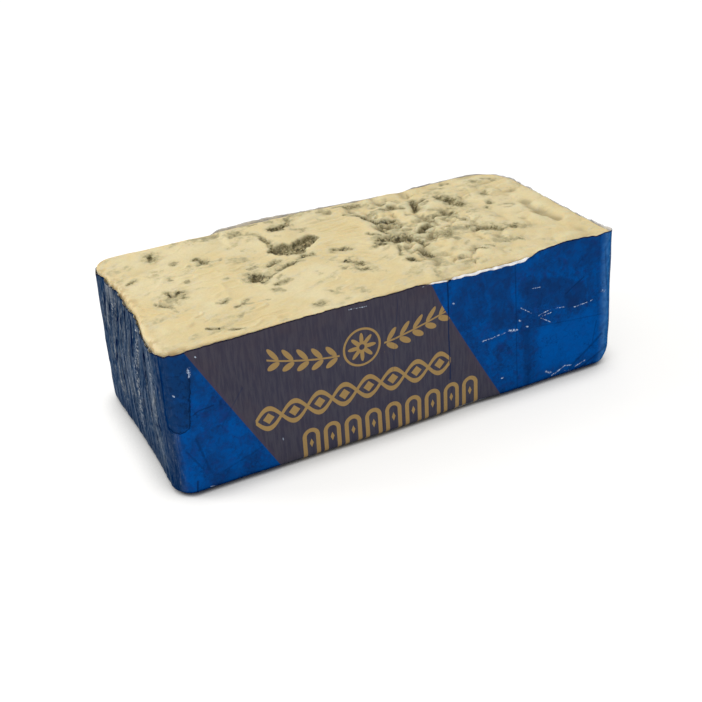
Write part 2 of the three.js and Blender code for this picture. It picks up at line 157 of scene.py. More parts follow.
# Textures of the surfaces: size of their features along x and y, seed, how many sizes are added up
TEXTURES = {
    "tear": (7, 1, 31, 1),
    "pocket_edge": (2.5, 2.5, 41, 1),
    "cavity_edge": (2.5, 2.5, 42, 1),
    "wander_x": (5.5, 5.5, 71, 4),
    "wander_y": (5.5, 5.5, 72, 4),
    "streak_edge": (2.2, 1.9, 73, 4),
    "patchy_mould": (2.6, 2.6, 76, 3),
    "drawn_mould": (14, 4.5, 74, 4),
    "mottled_mould": (9, 6.5, 75, 4),
    "mould_grain": (1.2, 1.2, 97, 2),
    "torn_crests": (5.4, 4.6, 84, 1),
    "torn_grain": (2, 1.8, 88, 3),
    "cracked": (11, 9, 85, 2),
    "knife_marks": (18, 1.8, 91, 2),
    "sliced_grain": (1.2, 1.2, 92, 2),
    "sliced_swell": (13, 9, 90, 3),
    "slice_folds": (15, 6, 89, 2),
    "fold_places": (20, 14, 87, 2),
    "ripple_turn": (12, 6, 93, 1),
    "ripple_share": (9, 5, 94, 1),
    "groove": (7, 1, 98, 1),
    "rim_long": (2.3, 1, 55, 1),
    "rim_short": (0.9, 1, 56, 1),
    "rim_left": (2, 1, 57, 1),
    "fold_slant": (9, 22, 63, 1),
    "crease": (1.6, 1.6, 121, 1),
    "seam": (20, 1, 141, 1),
    "underside": (7, 7, 143, 1),
    "lip": (4, 1, 151, 1),
}


def texture(name, x, y=0):
    """Layered noise by its name, from about -1 to 1."""
    size_x, size_y, seed, octaves = TEXTURES[name]
    return layered(x / size_x, y / size_y, seed, octaves)


def near_spot(spot, x, y):
    """1 at the middle of an oval spot, given by its middle and its reach, and fading out round it."""
    middle_x, middle_y, reach_x, reach_y = spot
    return bump(np.hypot((x - middle_x) / reach_x, (y - middle_y) / reach_y), 0, 1)


def cells(x, y, seed):
    """Distances to the two nearest points of a scattered set, one in each unit square."""
    ix, iy = np.floor(x), np.floor(y)
    near = np.full(x.shape, 9.0)
    second = np.full(x.shape, 9.0)
    for dx in (-1, 0, 1):
        for dy in (-1, 0, 1):
            px = ix + dx + lattice_value(ix + dx, iy + dy, seed)
            py = iy + dy + lattice_value(ix + dx, iy + dy, seed + 1)
            d = np.hypot(x - px, y - py)
            second = np.minimum(second, np.maximum(near, d))
            near = np.minimum(near, d)
    return near, second


def turned(x, y, degrees):
    """Coordinates along and across a direction."""
    c, s = math.cos(math.radians(degrees)), math.sin(math.radians(degrees))
    return x * c + y * s, y * c - x * s


# The cut face

# Mould pockets: middle x and y, length, width, turn in degrees, depth
POCKETS = [
    (-49, -6, 11, 5.5, 68, 2.2),
    (-34, -1, 30, 3.2, 27, 0.5),
    (-37, 5, 8, 3.6, 40, 0.6),
    (-85, -2, 8, 5, -45, 0.8),
    (-91, -9, 12, 6.5, -35, 0.5),
    (-83, 38, 9, 3.6, 65, 0.6),
    (-64, 22, 10, 4.5, 50, 0.8),
    (-76, -42, 13, 1.8, -34, 0.5),
    (-20, 36, 12, 4.2, 27, 1.2),
    (-13, 43, 11, 3.6, 78, 0.6),
    (-4, 2, 8, 3.4, -12, 0.5),
    (-6, -17, 15, 6, 80, 0.5),
    (21, 27, 14, 4.4, -72, 1.7),
    (28, 16, 13, 9, 5, 2),
    (16, 0, 8, 6, 0, 1.2),
    (26, -1, 11, 8.5, -20, 1.9),
    (38.5, 3, 11, 3.8, 35, 1.9),
    (49, 29, 17, 4.8, 58, 2.4),
    (40, 33, 10, 5, -48, 1.2),
    (58, 13, 9, 6.5, 60, 1.2),
    (66, 26, 17, 7, 62, 0.8),
    (63, -12, 9, 8, -30, 1.2),
    (77, -18, 8, 7, 0, 0.6),
    (26, -21, 12, 6, 66, 1.2),
    (16, -27, 6, 5, 0, 1),
    (36, -8, 12, 5, 35, 1.1),
    (94, -9, 28, 6.5, 90, 0.6),
]
# The largest pocket curls round a mound of cheese.
# Its strokes: from x and y, to x and y, half widths at both ends, depth
CAVITY = [
    (-28.5, 16.5, -22, 14.5, 5.6, 5.6, 2.4),
    (-22, 14.5, -10, 21, 5.4, 3.2, 2.2),
    (-30, 20, -31.5, 31, 2.4, 1.2, 1),
]
MOUND = {"x": -20, "y": 28, "reach": 8, "height": 1.3}

# Slow waves of the whole face: height, size along x and y, seed
WAVES = [
    (0.5, 36, 30, 1),
    (0.3, 13, 10, 2),
]

# Right of the tear the cheese broke instead of being sliced. The slice curls up along it.
# Beyond it stand rounded lumps with creases between them.
TEAR = {"x": 18, "swing": 2.2, "swing_size": 8, "ragged": 2.5, "starts": -1.5, "ends": 3}
CURL = {"height": 0.55, "before": 2.5, "reach": 3}
LUMPS = {"height": 1.5, "x": 10, "y": 8, "level": 0.7, "seed": 3}
CRUMBS = {"height": 0.4, "x": 4.5, "y": 4, "seed": 4}
RIGHT_RIDGE = {"height": 0.7, "from": 98, "to": 104}
FRONT_DIP = {"depth": 0.7, "from": 17, "to": 60, "fade": 4, "reach": 7}

# How steep the walls of the pockets and of the cavity are: where they start and end, from 0 at the edge to
# 1 in the middle, and how ragged the edge is
POCKET_WALL = {"from": -0.1, "to": 0.75, "ragged": 0.25}
CAVITY_WALL = {"from": -0.05, "to": 0.35, "ragged": 0.2}

# The back edge stands high between two places along x. It has swells and nicks: middle, reach, height.
# Both fade out towards the middle of the face.
HIGH_BACK = {"height": 2.1, "starts": (-50, -46), "ends": (-8, 22)}
BACK_SWELLS = [(-94, 14, 1.4), (-64, 12, 1.3), (36, 12, -0.9), (51, 4.5, -2.6), (60, 9, -0.8)]
BACK_FADE = {"from": 26, "to": 48}

WANDER = 0.9  # how far ragged shapes wander

# Streaks and spots of mould: from x and y, to x and y, width, how dark, and how deep where they are cuts
STREAKS = [
    # The large cavity and the cheese behind it
    (-27, 12, -21, 9.5, 3, 1, 0.9), (-30, 20, -30.3, 26, 2.6, 0.75), (-30.3, 26, -31.7, 33, 2, 0.6),
    (-24.7, 37, -16, 37.5, 3, 0.85, 0.8), (-16, 38, -13.5, 43.5, 3.4, 0.7, 0.4), (-13, 44, -8, 49, 3, 0.6),
    (-24, 33.5, -20, 33, 2, 0.55), (-22.5, 45, -21.5, 47, 3.4, 0.45), (-17, 31, -14, 33, 2, 0.35),
    (-26, 28, -24, 27, 2.4, 0.3), (-13, 28, -10, 30.5, 2, 0.35),
    # The sliced part, from its left end
    (-83.4, 36.5, -82.6, 40.5, 4, 0.68), (-75.9, 27.5, -75.5, 29, 2.4, 0.5),
    (-69, 47.5, -67.6, 49, 3, 0.45), (-60, 47.8, -51, 45.5, 7, 0.42), (-62, 43, -59, 45, 4, 0.3),
    (-64.5, 25.6, -62.6, 18.8, 3, 0.72, 0.4), (-61.5, 23.5, -66.5, 20, 2.2, 0.5),
    (-62.6, 19.2, -56, 19.9, 2, 0.35), (-64, 20, -71, 21.4, 1.4, 0.35),
    (-82.7, 12.4, -82.3, 14.4, 2.6, 0.45), (-76.6, 6.2, -75.8, 7.4, 2.6, 0.4),
    (-102, 17.6, -96.6, 19.8, 2, 0.7, 0.3), (-103, 16.4, -98, 16.8, 1.6, 0.4),
    (-87.2, 0.8, -86.2, -2.9, 2.2, 0.8, 0.4), (-86, -3, -82.9, -0.6, 1.6, 0.75, 0.3),
    (-82.9, -0.6, -80.6, -1.6, 2, 0.85, 0.4), (-82, -2.5, -83.4, -6.4, 3, 0.6, 0.3),
    (-88.5, -7, -84.5, -3.5, 6.5, 0.42, 0.2), (-96, -7.6, -90, -12.6, 1.5, 0.8, 0.4),
    (-92.5, -9.8, -89.5, -9.5, 3.4, 0.45), (-90, -13, -89.2, -18, 1.6, 0.35),
    (-70.2, -19.5, -67.7, -18, 2, 0.82, 0.3), (-66, -25.6, -62.5, -25.2, 1.7, 0.8, 0.3),
    (-62, -25.6, -52, -27.2, 1, 0.35), (-62, -24.4, -59.5, -22.4, 1.4, 0.5),
    (-68.4, -33.5, -67, -33.2, 2.8, 0.36), (-83, -37.4, -79, -39.9, 1.3, 1, 0.4),
    (-75, -43, -70.4, -45, 1.3, 1, 0.4), (-77.6, -41.2, -76.4, -42.2, 0.8, 0.5),
    (-88, 25.8, -82.8, 23.5, 3, 0.26), (-91, 21.5, -86, 19.5, 3, 0.2), (-61.4, 0, -60.2, 0.4, 2, 0.35),
    (-75, -2, -71, -4, 2.4, 0.16),
    # The pit and the grooves that lead from it
    (-50.6, -6.2, -48.6, -3, 4.6, 1, 1), (-48, -3.4, -46.4, -6.6, 3.4, 1, 0.8),
    (-48.6, -7, -48.6, -11, 2.6, 0.85, 0.6), (-52.5, -8.2, -50.5, -7.4, 1.8, 0.6),
    (-49, -12, -42.7, -7, 1.6, 0.55, 0.4), (-42.7, -7, -36.6, -3.6, 1.6, 0.5, 0.5),
    (-44, -15.6, -37.5, -14, 1.8, 0.62, 0.4), (-41.6, -11.6, -38.4, -9.4, 1.6, 0.5, 0.3),
    (-46.4, -21, -45.2, -20.6, 2.4, 0.4), (-39.4, 3.3, -34.5, 5.3, 3.2, 0.68, 0.4),
    (-49, 5.3, -44.2, 4.9, 2.6, 0.5), (-52, 17.2, -46, 14.2, 4.4, 0.36), (-46, 8.4, -44.4, 9.4, 2, 0.3),
    (-33.6, -1.2, -26.4, 0.9, 2.6, 0.72, 0.5), (-38, -2.6, -34.5, -2.2, 1.8, 0.5, 0.3),
    (-22.2, 4.7, -18.2, 5.1, 3, 0.75, 0.5), (-26, 2.8, -22, 4, 1.4, 0.5, 0.3),
    (-41.5, 40.2, -39.4, 40.8, 4.6, 0.55), (-46, 48.5, -45, 49.5, 3, 0.45),
    (-36.6, -42.2, -34.4, -41.6, 3, 0.72, 0.3), (-47, 30.5, -44, 33, 3, 0.3), (-37, 33, -34, 36, 3, 0.26),
    (-44, 24, -40, 22, 3, 0.22), (-36, 46, -33, 47, 2.6, 0.3), (-44.1, 38.7, -41.4, 38.7, 2.6, 0.5, 0.2),
    (-32, 45.4, -29, 45, 2.4, 0.45), (-36.2, 38.4, -31.7, 35, 2.2, 0.5, 0.2),
    (-23.5, 44.4, -21.5, 43.6, 2.6, 0.5), (-14.6, 31, -9.6, 31, 1.8, 0.45, 0.2),
    (-3.8, 48.2, -1, 48, 2, 0.4), (4, 44.4, 8, 41.4, 2.6, 0.42, 0.2), (12, 46.8, 19, 44.6, 2.2, 0.6, 0.2),
    (-52.6, 15.1, -47.6, 13, 2.6, 0.34), (-48.4, 3.6, -44, 4.3, 2, 0.4),
    (-42.6, -16.2, -38.2, -15, 1.6, 0.5, 0.3), (-47, -19.6, -44, -22.6, 1.8, 0.42, 0.2),
    (-13.4, -5.4, -12.6, -7, 2.4, 0.36), (-14, -14, -12.2, -15, 2.4, 0.34),
    (-27.4, -34, -25, -37.4, 3, 0.36, 0.2), (-6.6, 3.6, -9, 2.6, 2, 0.4, 0.2),
    # The sliced part right of its middle
    (-7.6, 3.6, -1, 1, 3, 0.66, 0.4), (-9.4, 4.8, -7.4, 4.6, 2, 0.4),
    (-7.2, -10.2, -3.2, -18.6, 3.6, 0.66, 0.4), (-5.2, -7.6, -4.2, -7.8, 2.2, 0.6),
    (-7.8, -21, -3.6, -25, 3.4, 0.64, 0.3), (-12.4, -18, -11.4, -17.6, 2.8, 0.5),
    (-11.8, -3.6, -10.6, -3.4, 2, 0.3), (4.7, 47.6, 8.2, 42, 3, 0.36), (0.6, 38, 2, 36, 2, 0.2),
    (-17, -38, -13.5, -43, 4, 0.26), (-24, -14, -24, -16.5, 2.2, 0.22), (5, -40.5, 9, -40, 3, 0.2),
    (-1, 46.6, 2, 47.6, 2.4, 0.4), (-27, -38, -22, -33, 2.6, 0.24), (-1.4, -28, 1, -30, 2, 0.25),
    # The tear and the cavities behind it
    (19, 33, 21.9, 27, 2.2, 0.95, 1.3), (21.9, 27, 24, 21.4, 3.4, 1, 1.6),
    (14, 36.6, 18.6, 34, 1.8, 0.55, 0.6), (24.4, 20.6, 28.3, 20.8, 3, 1, 1.2),
    (28.3, 20.8, 31.6, 19.2, 2.6, 1, 1.1), (31.6, 19.2, 33.2, 13, 2.2, 0.85, 1.2),
    (22.8, 16, 21, 9, 2.8, 0.95, 1.4), (26, 16.5, 29, 12.5, 6.5, 0.6, 0.8), (24, 12, 27, 9, 4, 0.5, 0.5),
    (16.4, 2, 28.7, 0.6, 4.6, 1, 1.4), (15.5, -1.2, 20, -2.4, 4, 0.6, 0.6),
    (20, -4.4, 27.6, -5.6, 3, 0.8, 0.9), (19, 3.4, 24, 3.8, 2, 0.55, 0.6),
    (9.6, -3.8, 15.4, -5, 2, 0.82, 0.6), (12, -1.6, 15, -1.2, 1.6, 0.5, 0.3),
    (14.2, 10.2, 17.6, 5.6, 1.8, 0.75, 0.6), (36, 0.6, 42.2, 4.2, 4, 1, 1.8),
    (34, 2, 36.4, -1.4, 1.8, 0.6, 0.6), (42.4, 4.4, 46, 3, 1.6, 0.5, 0.4),
    (51.8, 36, 47.8, 29, 3.4, 1, 1.8), (47.8, 29, 48.8, 24.6, 3.6, 0.95, 1.6),
    (50.6, 33.6, 58, 35.8, 2.4, 0.72, 0.9), (53, 29.5, 56.4, 31.4, 3, 0.45, 0.5),
    (26.2, -17.3, 27.2, -25, 4.2, 0.88, 1.2), (23, -20, 22.4, -24, 2, 0.5, 0.5),
    (15.4, -24.6, 18.2, -28.6, 2.6, 0.8, 0.8), (19.4, -8.4, 14.8, -20, 1.6, 0.6, 0.9),
    (21.6, -11, 20.4, -17, 2.4, 0.45, 0.4), (29.4, -4.2, 30.4, -12.6, 2.8, 0.9, 1.3),
    (30.4, -12.6, 27.6, -16, 2, 0.55, 0.6), (20.5, 45, 26, 45, 3, 0.66, 0.3),
    (26.5, 44.5, 31, 43.5, 2.4, 0.45, 0.3), (35.6, 41.2, 37, 40.6, 4.4, 0.6, 0.4),
    (37.9, 37.4, 42.3, 29.8, 2, 0.8, 1.2), (28, 33.6, 37.4, 33.8, 1.6, 0.6, 0.7),
    (42.2, 40, 45, 38, 3, 0.45, 0.3), (30.6, 39.4, 34, 38, 2, 0.5, 0.4),
    (44.6, 15.6, 45.4, 15, 4, 0.5, 0.3), (35, 9.2, 36.4, 8.6, 3.2, 0.45, 0.4),
    (37.4, -6.4, 38.6, -7, 5, 0.5, 0.5), (33, -9.4, 36, -12, 2.4, 0.4, 0.4),
    (43.2, -11.4, 45, -18.2, 3.2, 0.44, 0.4), (30, 6.6, 33.4, 5.8, 2, 0.55, 0.6),
    (40, 22, 43, 20, 2.2, 0.4, 0.4), (38.4, 12.6, 41.4, 11.4, 1.8, 0.4, 0.4),
    # The calmer broken part at the right end
    (64.4, 32.4, 67, 25, 6.4, 0.72, 0.6), (66.4, 25, 68.6, 17.8, 5.2, 0.66, 0.5),
    (60, 27.6, 63.4, 24.6, 2.6, 0.5, 0.3), (70.6, 30, 72.8, 26, 2, 0.4, 0.2),
    (55, 16.8, 60, 12, 3.8, 0.68, 0.7), (60.8, 18.6, 63.4, 15, 2.2, 0.5, 0.3),
    (57, 7.2, 59.6, 1.2, 2.4, 0.66, 0.5), (66, 8.6, 70.4, 7.6, 2.4, 0.4, 0.2),
    (51.6, 20, 54, 17.4, 2.4, 0.5, 0.4), (59.6, -7.4, 67, -15.4, 6, 0.66, 0.5),
    (57.4, -10.6, 59.6, -15, 2.4, 0.4, 0.2), (73.6, -15.6, 79.6, -19.6, 4.4, 0.52, 0.3),
    (59.4, -28.2, 69.8, -30.4, 4, 0.42, 0.3), (80.5, 13, 81.2, 14, 2.4, 0.74, 0.2),
    (76.8, 8, 77.2, 8.8, 2.2, 0.74, 0.2), (84.4, 7.8, 90, 6.4, 1.6, 0.5, 0.2),
    (90, 6.4, 89, 3.4, 1.5, 0.45, 0.2), (84.6, 3.4, 86.4, 2.2, 1.6, 0.5, 0.2),
    (84.8, 23.4, 85.8, 24.2, 4, 0.55, 0.3), (94.6, 40.6, 99, 36.6, 2.6, 0.42, 0.2),
    (47.2, -28.6, 49.6, -33, 2.2, 0.6, 0.3), (52.2, -30, 54.7, -31.7, 2, 0.55, 0.2),
    (36.4, -34, 37.4, -34, 2.2, 0.55, 0.2), (35.8, -40, 40.6, -40, 3, 0.42, 0.2),
    (42.4, -43, 43.4, -43, 2.6, 0.32, 0.1), (23.8, -35.2, 19.2, -42.8, 4, 0.34, 0.3),
    (49.6, -0.2, 50.2, -0.4, 2.4, 0.5, 0.2), (52, -11.3, 52.4, -11.7, 2.2, 0.4, 0.2),
    (63, -21.4, 63.6, -21.7, 2, 0.34), (51.8, -23.6, 52.4, -23.8, 2, 0.32),
    (58, -39.2, 58.6, -39.4, 2.4, 0.3), (86.4, 40.4, 89.6, 39.2, 2.8, 0.55, 0.2),
    (68.2, 42.8, 69.8, 42.2, 3, 0.55, 0.2), (74, 45.8, 75.6, 45.4, 2.6, 0.5, 0.2),
    (62.2, 42.4, 66.8, 41.6, 2.2, 0.5, 0.2), (97, 24.2, 102.8, 22.2, 4, 0.22, 0.1),
    (76, 33, 79, 31, 3, 0.26, 0.1), (72, -2, 74.4, -3.4, 2, 0.28, 0.1),
    (45.4, -24, 47.6, -22.4, 2, 0.3, 0.1),
]

# How a streak fades, in half widths from its middle line: from, to, how ragged
STREAK_EDGES = {"body": (1.4, 0.6, 1.3), "halo": (4.4, 0.2, 1.1), "cut": (1.5, 0.1, 0.4)}
HALO = {"share": 0.46, "fade": 1.3}
CUT_SHARE = 0.7
CAVITY_MOULD = {"share": 0.78, "from": -0.08, "to": 0.2}
PATCHY = {"least": 0.82, "more": 0.5}
# Fainter mottling, drawn out along the knife's path where the face is smooth
DRAWN = {"share": 0.26, "turn": 27, "from": 0, "to": 0.8}
MOTTLED = {"share": 0.3, "more": 0.25, "from": -0.1, "to": 0.7, "spread": 0.2}
MOTTLED_SPOT = (36, 8, 32, 34)

# Fine relief of the break: its crests, the cracks between its crumbs, and its calmer right end
ROUGHEST = (34, 8, 22, 28)
CRESTS = {"height": 0.4, "more": 0.5, "level": 0.4, "grain": 0.14}
CRACKS = {"depth": 1.1, "wide": 0.14, "swell": 0.25, "from": 0.1, "to": 0.7, "more": 0.75, "fewer": 0.35}
CRACK_CELLS = {"x": 8, "y": 5.6, "wander": 0.9, "seed": 86}
CALM_END = {"share": 0.6, "from": 56, "to": 76}

# Fine relief of the sliced part: marks along the knife's path, grain, slow swells and thin folds
SLICED = {"turn": 24, "marks": 0.12, "grain": 0.05, "swell": 0.5}
FOLDS = {"height": 0.5, "wide": 0.16, "from": 0.1, "to": 0.5, "more": 0.2}

# Grains of the mould
GRAINS = {"x": 2.4, "y": 2, "seed": 95, "height": 1.3, "wide": 0.5, "fine": 0.4, "level": 0.9}
GRAINY = {"from": 0.4, "to": 0.8}

# The long groove at the right end of the face: from x and y, to x and y
GROOVE = (97, 6, 97.5, -21)
GROOVE_FORM = {"wide": 4.2, "depth": 1.3, "swing": 0.8}

# Ripples that the knife left, which fan out from a place on the face, right of a line
RIPPLES = {"x": -52, "y": 27, "from": 34, "to": 71, "lines": 100, "height": 0.3, "turn": 0.05}
RIPPLE_FADE = {"in": 16, "out": 8, "starts": (-18, -6), "least": 0.35, "more": 0.65}


def tear_line(y):
    """Right of this line the cheese broke instead of being sliced."""
    return TEAR["x"] + TEAR["swing"] * np.sin(y / TEAR["swing_size"]) + TEAR["ragged"] * texture("tear", y)


def inside_pocket(pocket, x, y):
    """1 at the middle of a pocket and 0 at its ragged edge."""
    px, py, length, width, turn = pocket[:5]
    along, across = turned(x - px, y - py, turn)
    off = np.hypot(along / (length / 2), across / (width / 2))
    return 1 - off - POCKET_WALL["ragged"] * texture("pocket_edge", x, y)


def line_distance(ax, ay, bx, by, x, y):
    """Distance from a straight stretch, and how far along the stretch its nearest point is."""
    run = (bx - ax) ** 2 + (by - ay) ** 2
    t = clamp01(((x - ax) * (bx - ax) + (y - ay) * (by - ay)) / run)
    return np.hypot(x - mix(ax, bx, t), y - mix(ay, by, t)), t


def inside_stroke(stroke, x, y):
    """1 on the middle line of a stroke of the cavity, 0 at its ragged edge."""
    off, t = line_distance(*stroke[:4], x, y)
    return 1 - off / mix(stroke[4], stroke[5], t) - CAVITY_WALL["ragged"] * texture("cavity_edge", x, y)


def back_skyline(x):
    """Height of the back edge over the nominal plane."""
    high = HIGH_BACK["height"] * ramp(*HIGH_BACK["starts"], x) * (1 - ramp(*HIGH_BACK["ends"], x))
    for middle, reach, height in BACK_SWELLS:
        high = high + height * bump(x, middle, reach)
    return high


def broken_part(x, y):
    """1 where the cheese broke, 0 where it was sliced."""
    return ramp(TEAR["starts"], TEAR["ends"], x - tear_line(y))


def cut_face(x, y):
    """Height of the cut face over its nominal plane."""
    past = x - tear_line(y)
    wx, wy = wandering(x, y)
    h = CURL["height"] * bump(past, -CURL["before"], CURL["reach"])
    for height, size_x, size_y, seed in WAVES:
        h = h + height * noise(x / size_x, y / size_y, seed)
    lumps = np.abs(noise(wx / LUMPS["x"], wy / LUMPS["y"], LUMPS["seed"])) - LUMPS["level"]
    crumbs = CRUMBS["height"] * noise(x / CRUMBS["x"], y / CRUMBS["y"], CRUMBS["seed"])
    h = h + broken_part(x, y) * (LUMPS["height"] * lumps + crumbs)
    h = h + MOUND["height"] * bump(np.hypot(x - MOUND["x"], y - MOUND["y"]), 0, MOUND["reach"])
    start, end = POCKET_WALL["from"], POCKET_WALL["to"]
    for pocket in POCKETS:
        h = h - pocket[5] * ramp(start, end, inside_pocket(pocket, wx, wy))
    start, end = CAVITY_WALL["from"], CAVITY_WALL["to"]
    h = h - np.max([stroke[6] * ramp(start, end, inside_stroke(stroke, wx, wy)) for stroke in CAVITY], 0)
    h = h + RIGHT_RIDGE["height"] * ramp(RIGHT_RIDGE["from"], RIGHT_RIDGE["to"], x)
    start, end, fade = FRONT_DIP["from"], FRONT_DIP["to"], FRONT_DIP["fade"]
    dipped = ramp(start - fade, start + fade, x) * ramp(end + fade, end - fade, x)
    h = h - FRONT_DIP["depth"] * dipped * ramp(FRONT_DIP["reach"] - HALF_Y, -HALF_Y, y)
    return h + ramp(BACK_FADE["from"], BACK_FADE["to"], y) * back_skyline(x)


def wandering(x, y):
    """Coordinates that wander a little, which makes round shapes ragged."""
    return x + WANDER * texture("wander_x", x, y), y + WANDER * texture("wander_y", x, y)


def streak_edge(part, off, ragged):
    """1 within a part of a streak and 0 outside it."""
    start, end, raggedness = STREAK_EDGES[part]
    return ramp(start, end, off - raggedness * ragged)


def streaked(x, y):
    """How mouldy each point of the cut face is, from 0 to 1, and how deep the streaks go."""
    wx, wy = wandering(x, y)
    ragged = texture("streak_edge", x, y)
    patchy = PATCHY["least"] + PATCHY["more"] * texture("patchy_mould", x, y)
    mould = np.zeros(x.shape)
    depth = np.zeros(x.shape)
    for stroke in CAVITY[:2]:
        lined = ramp(CAVITY_MOULD["from"], CAVITY_MOULD["to"], inside_stroke(stroke, wx, wy))
        mould = np.maximum(mould, CAVITY_MOULD["share"] * lined * patchy)
    for ax, ay, bx, by, width, dark, *deep in STREAKS:
        off, _ = line_distance(ax, ay, bx, by, wx, wy)
        off = off / (width / 2)
        body = streak_edge("body", off, ragged) * patchy
        halo = HALO["share"] * streak_edge("halo", off, ragged) ** HALO["fade"]
        mould = np.maximum(mould, dark * np.maximum(body, halo))
        if deep:
            depth = np.maximum(depth, CUT_SHARE * deep[0] * streak_edge("cut", off, ragged))
    return np.maximum(mould, mottling(x, y)), depth


def mottling(x, y):
    """Faint mould all over the face: drawn out where it was sliced, in patches where it broke."""
    along, across = turned(x, y, DRAWN["turn"])
    drawn = DRAWN["share"] * ramp(DRAWN["from"], DRAWN["to"], texture("drawn_mould", along, across))
    torn = near_spot(MOTTLED_SPOT, x, y)
    spread = texture("mottled_mould", x, y) + MOTTLED["spread"] * torn
    share = MOTTLED["share"] + MOTTLED["more"] * torn
    return mix(drawn, share * ramp(MOTTLED["from"], MOTTLED["to"], spread), broken_part(x, y))


def torn_relief(x, y, wx, wy):
    """Crests, grain, and cracks between crumbs."""
    middle = near_spot(ROUGHEST, x, y)
    crest = np.abs(texture("torn_crests", wx, wy)) - CRESTS["level"]
    rough = (CRESTS["height"] + CRESTS["more"] * middle) * crest
    rough = rough + CRESTS["grain"] * texture("torn_grain", x, y)
    far_x = (wx + CRACK_CELLS["wander"] * (wx - x)) / CRACK_CELLS["x"]
    far_y = (wy + CRACK_CELLS["wander"] * (wy - y)) / CRACK_CELLS["y"]
    near, second = cells(far_x, far_y, CRACK_CELLS["seed"])
    cracked = ramp(0, 0.5, texture("cracked", x, y) + CRACKS["more"] * middle - CRACKS["fewer"])
    crack = CRACKS["depth"] * ramp(CRACKS["wide"], 0, second - near)
    return rough - cracked * (crack - CRACKS["swell"] * ramp(CRACKS["from"], CRACKS["to"], second - near))


def ripple_relief(x, y):
    """Fine ripples that fan out from one place."""
    reach = np.hypot(x - RIPPLES["x"], y - RIPPLES["y"])
    angle = np.arctan2(y - RIPPLES["y"], x - RIPPLES["x"]) + RIPPLES["turn"] * texture("ripple_turn", x, y)
    start, end = RIPPLES["from"], RIPPLES["to"]
    fan = ramp(start, start + RIPPLE_FADE["in"], reach) * ramp(end, end - RIPPLE_FADE["out"], reach)
    share = RIPPLE_FADE["least"] + RIPPLE_FADE["more"] * ramp(-0.5, 0.5, texture("ripple_share", x, y))
    uneven = ramp(*RIPPLE_FADE["starts"], x) * share
    return RIPPLES["height"] * fan * uneven * np.sin(RIPPLES["lines"] * angle)


def sliced_relief(x, y, wx, wy):
    """Marks along the knife's path, grain, slow swells, thin folds and ripples."""
    along, across = turned(x, y, SLICED["turn"])
    marks = SLICED["marks"] * texture("knife_marks", along, across)
    sliced = marks + SLICED["grain"] * texture("sliced_grain", x, y)
    sliced = sliced + SLICED["swell"] * texture("sliced_swell", wx, wy)
    folded = np.abs(texture("slice_folds", wx, wy))
    places = ramp(FOLDS["from"], FOLDS["to"], texture("fold_places", x, y) + FOLDS["more"])
    return sliced + FOLDS["height"] * ramp(FOLDS["wide"], 0, folded) * places + ripple_relief(x, y)


def fine_face(x, y, mould):
    """Fine relief of the cut face: torn where it broke, knife marks where it was sliced."""
    wx, wy = wandering(x, y)
    torn = broken_part(x, y) * (1 - CALM_END["share"] * ramp(CALM_END["from"], CALM_END["to"], x))
    near, second = cells(x / GRAINS["x"], y / GRAINS["y"], GRAINS["seed"])
    grains = GRAINS["height"] * ramp(0, GRAINS["wide"], second - near)
    grains = grains + GRAINS["fine"] * texture("mould_grain", x, y) - GRAINS["level"]
    off, _ = line_distance(*GROOVE, x + GROOVE_FORM["swing"] * texture("groove", y), y)
    groove = GROOVE_FORM["depth"] * ramp(GROOVE_FORM["wide"], 0, off)
    relief = mix(sliced_relief(x, y, wx, wy), torn_relief(x, y, wx, wy), torn)
    return relief + ramp(GRAINY["from"], GRAINY["to"], mould) * grains - groove


def blurred(values, reach):
    """Values averaged over a square of cells, three times over."""
    wide = 2 * reach + 1
    for _ in range(3):
        for axis in (0, 1):
            edges = [(0, 0), (0, 0)]
            edges[axis] = (reach + 1, reach)
            total = np.cumsum(np.pad(values, edges, "edge"), axis)
            count = values.shape[axis]
            upper = np.take(total, range(wide, wide + count), axis)
            values = (upper - np.take(total, range(count), axis)) / wide
    return values


# The upright outline of the block

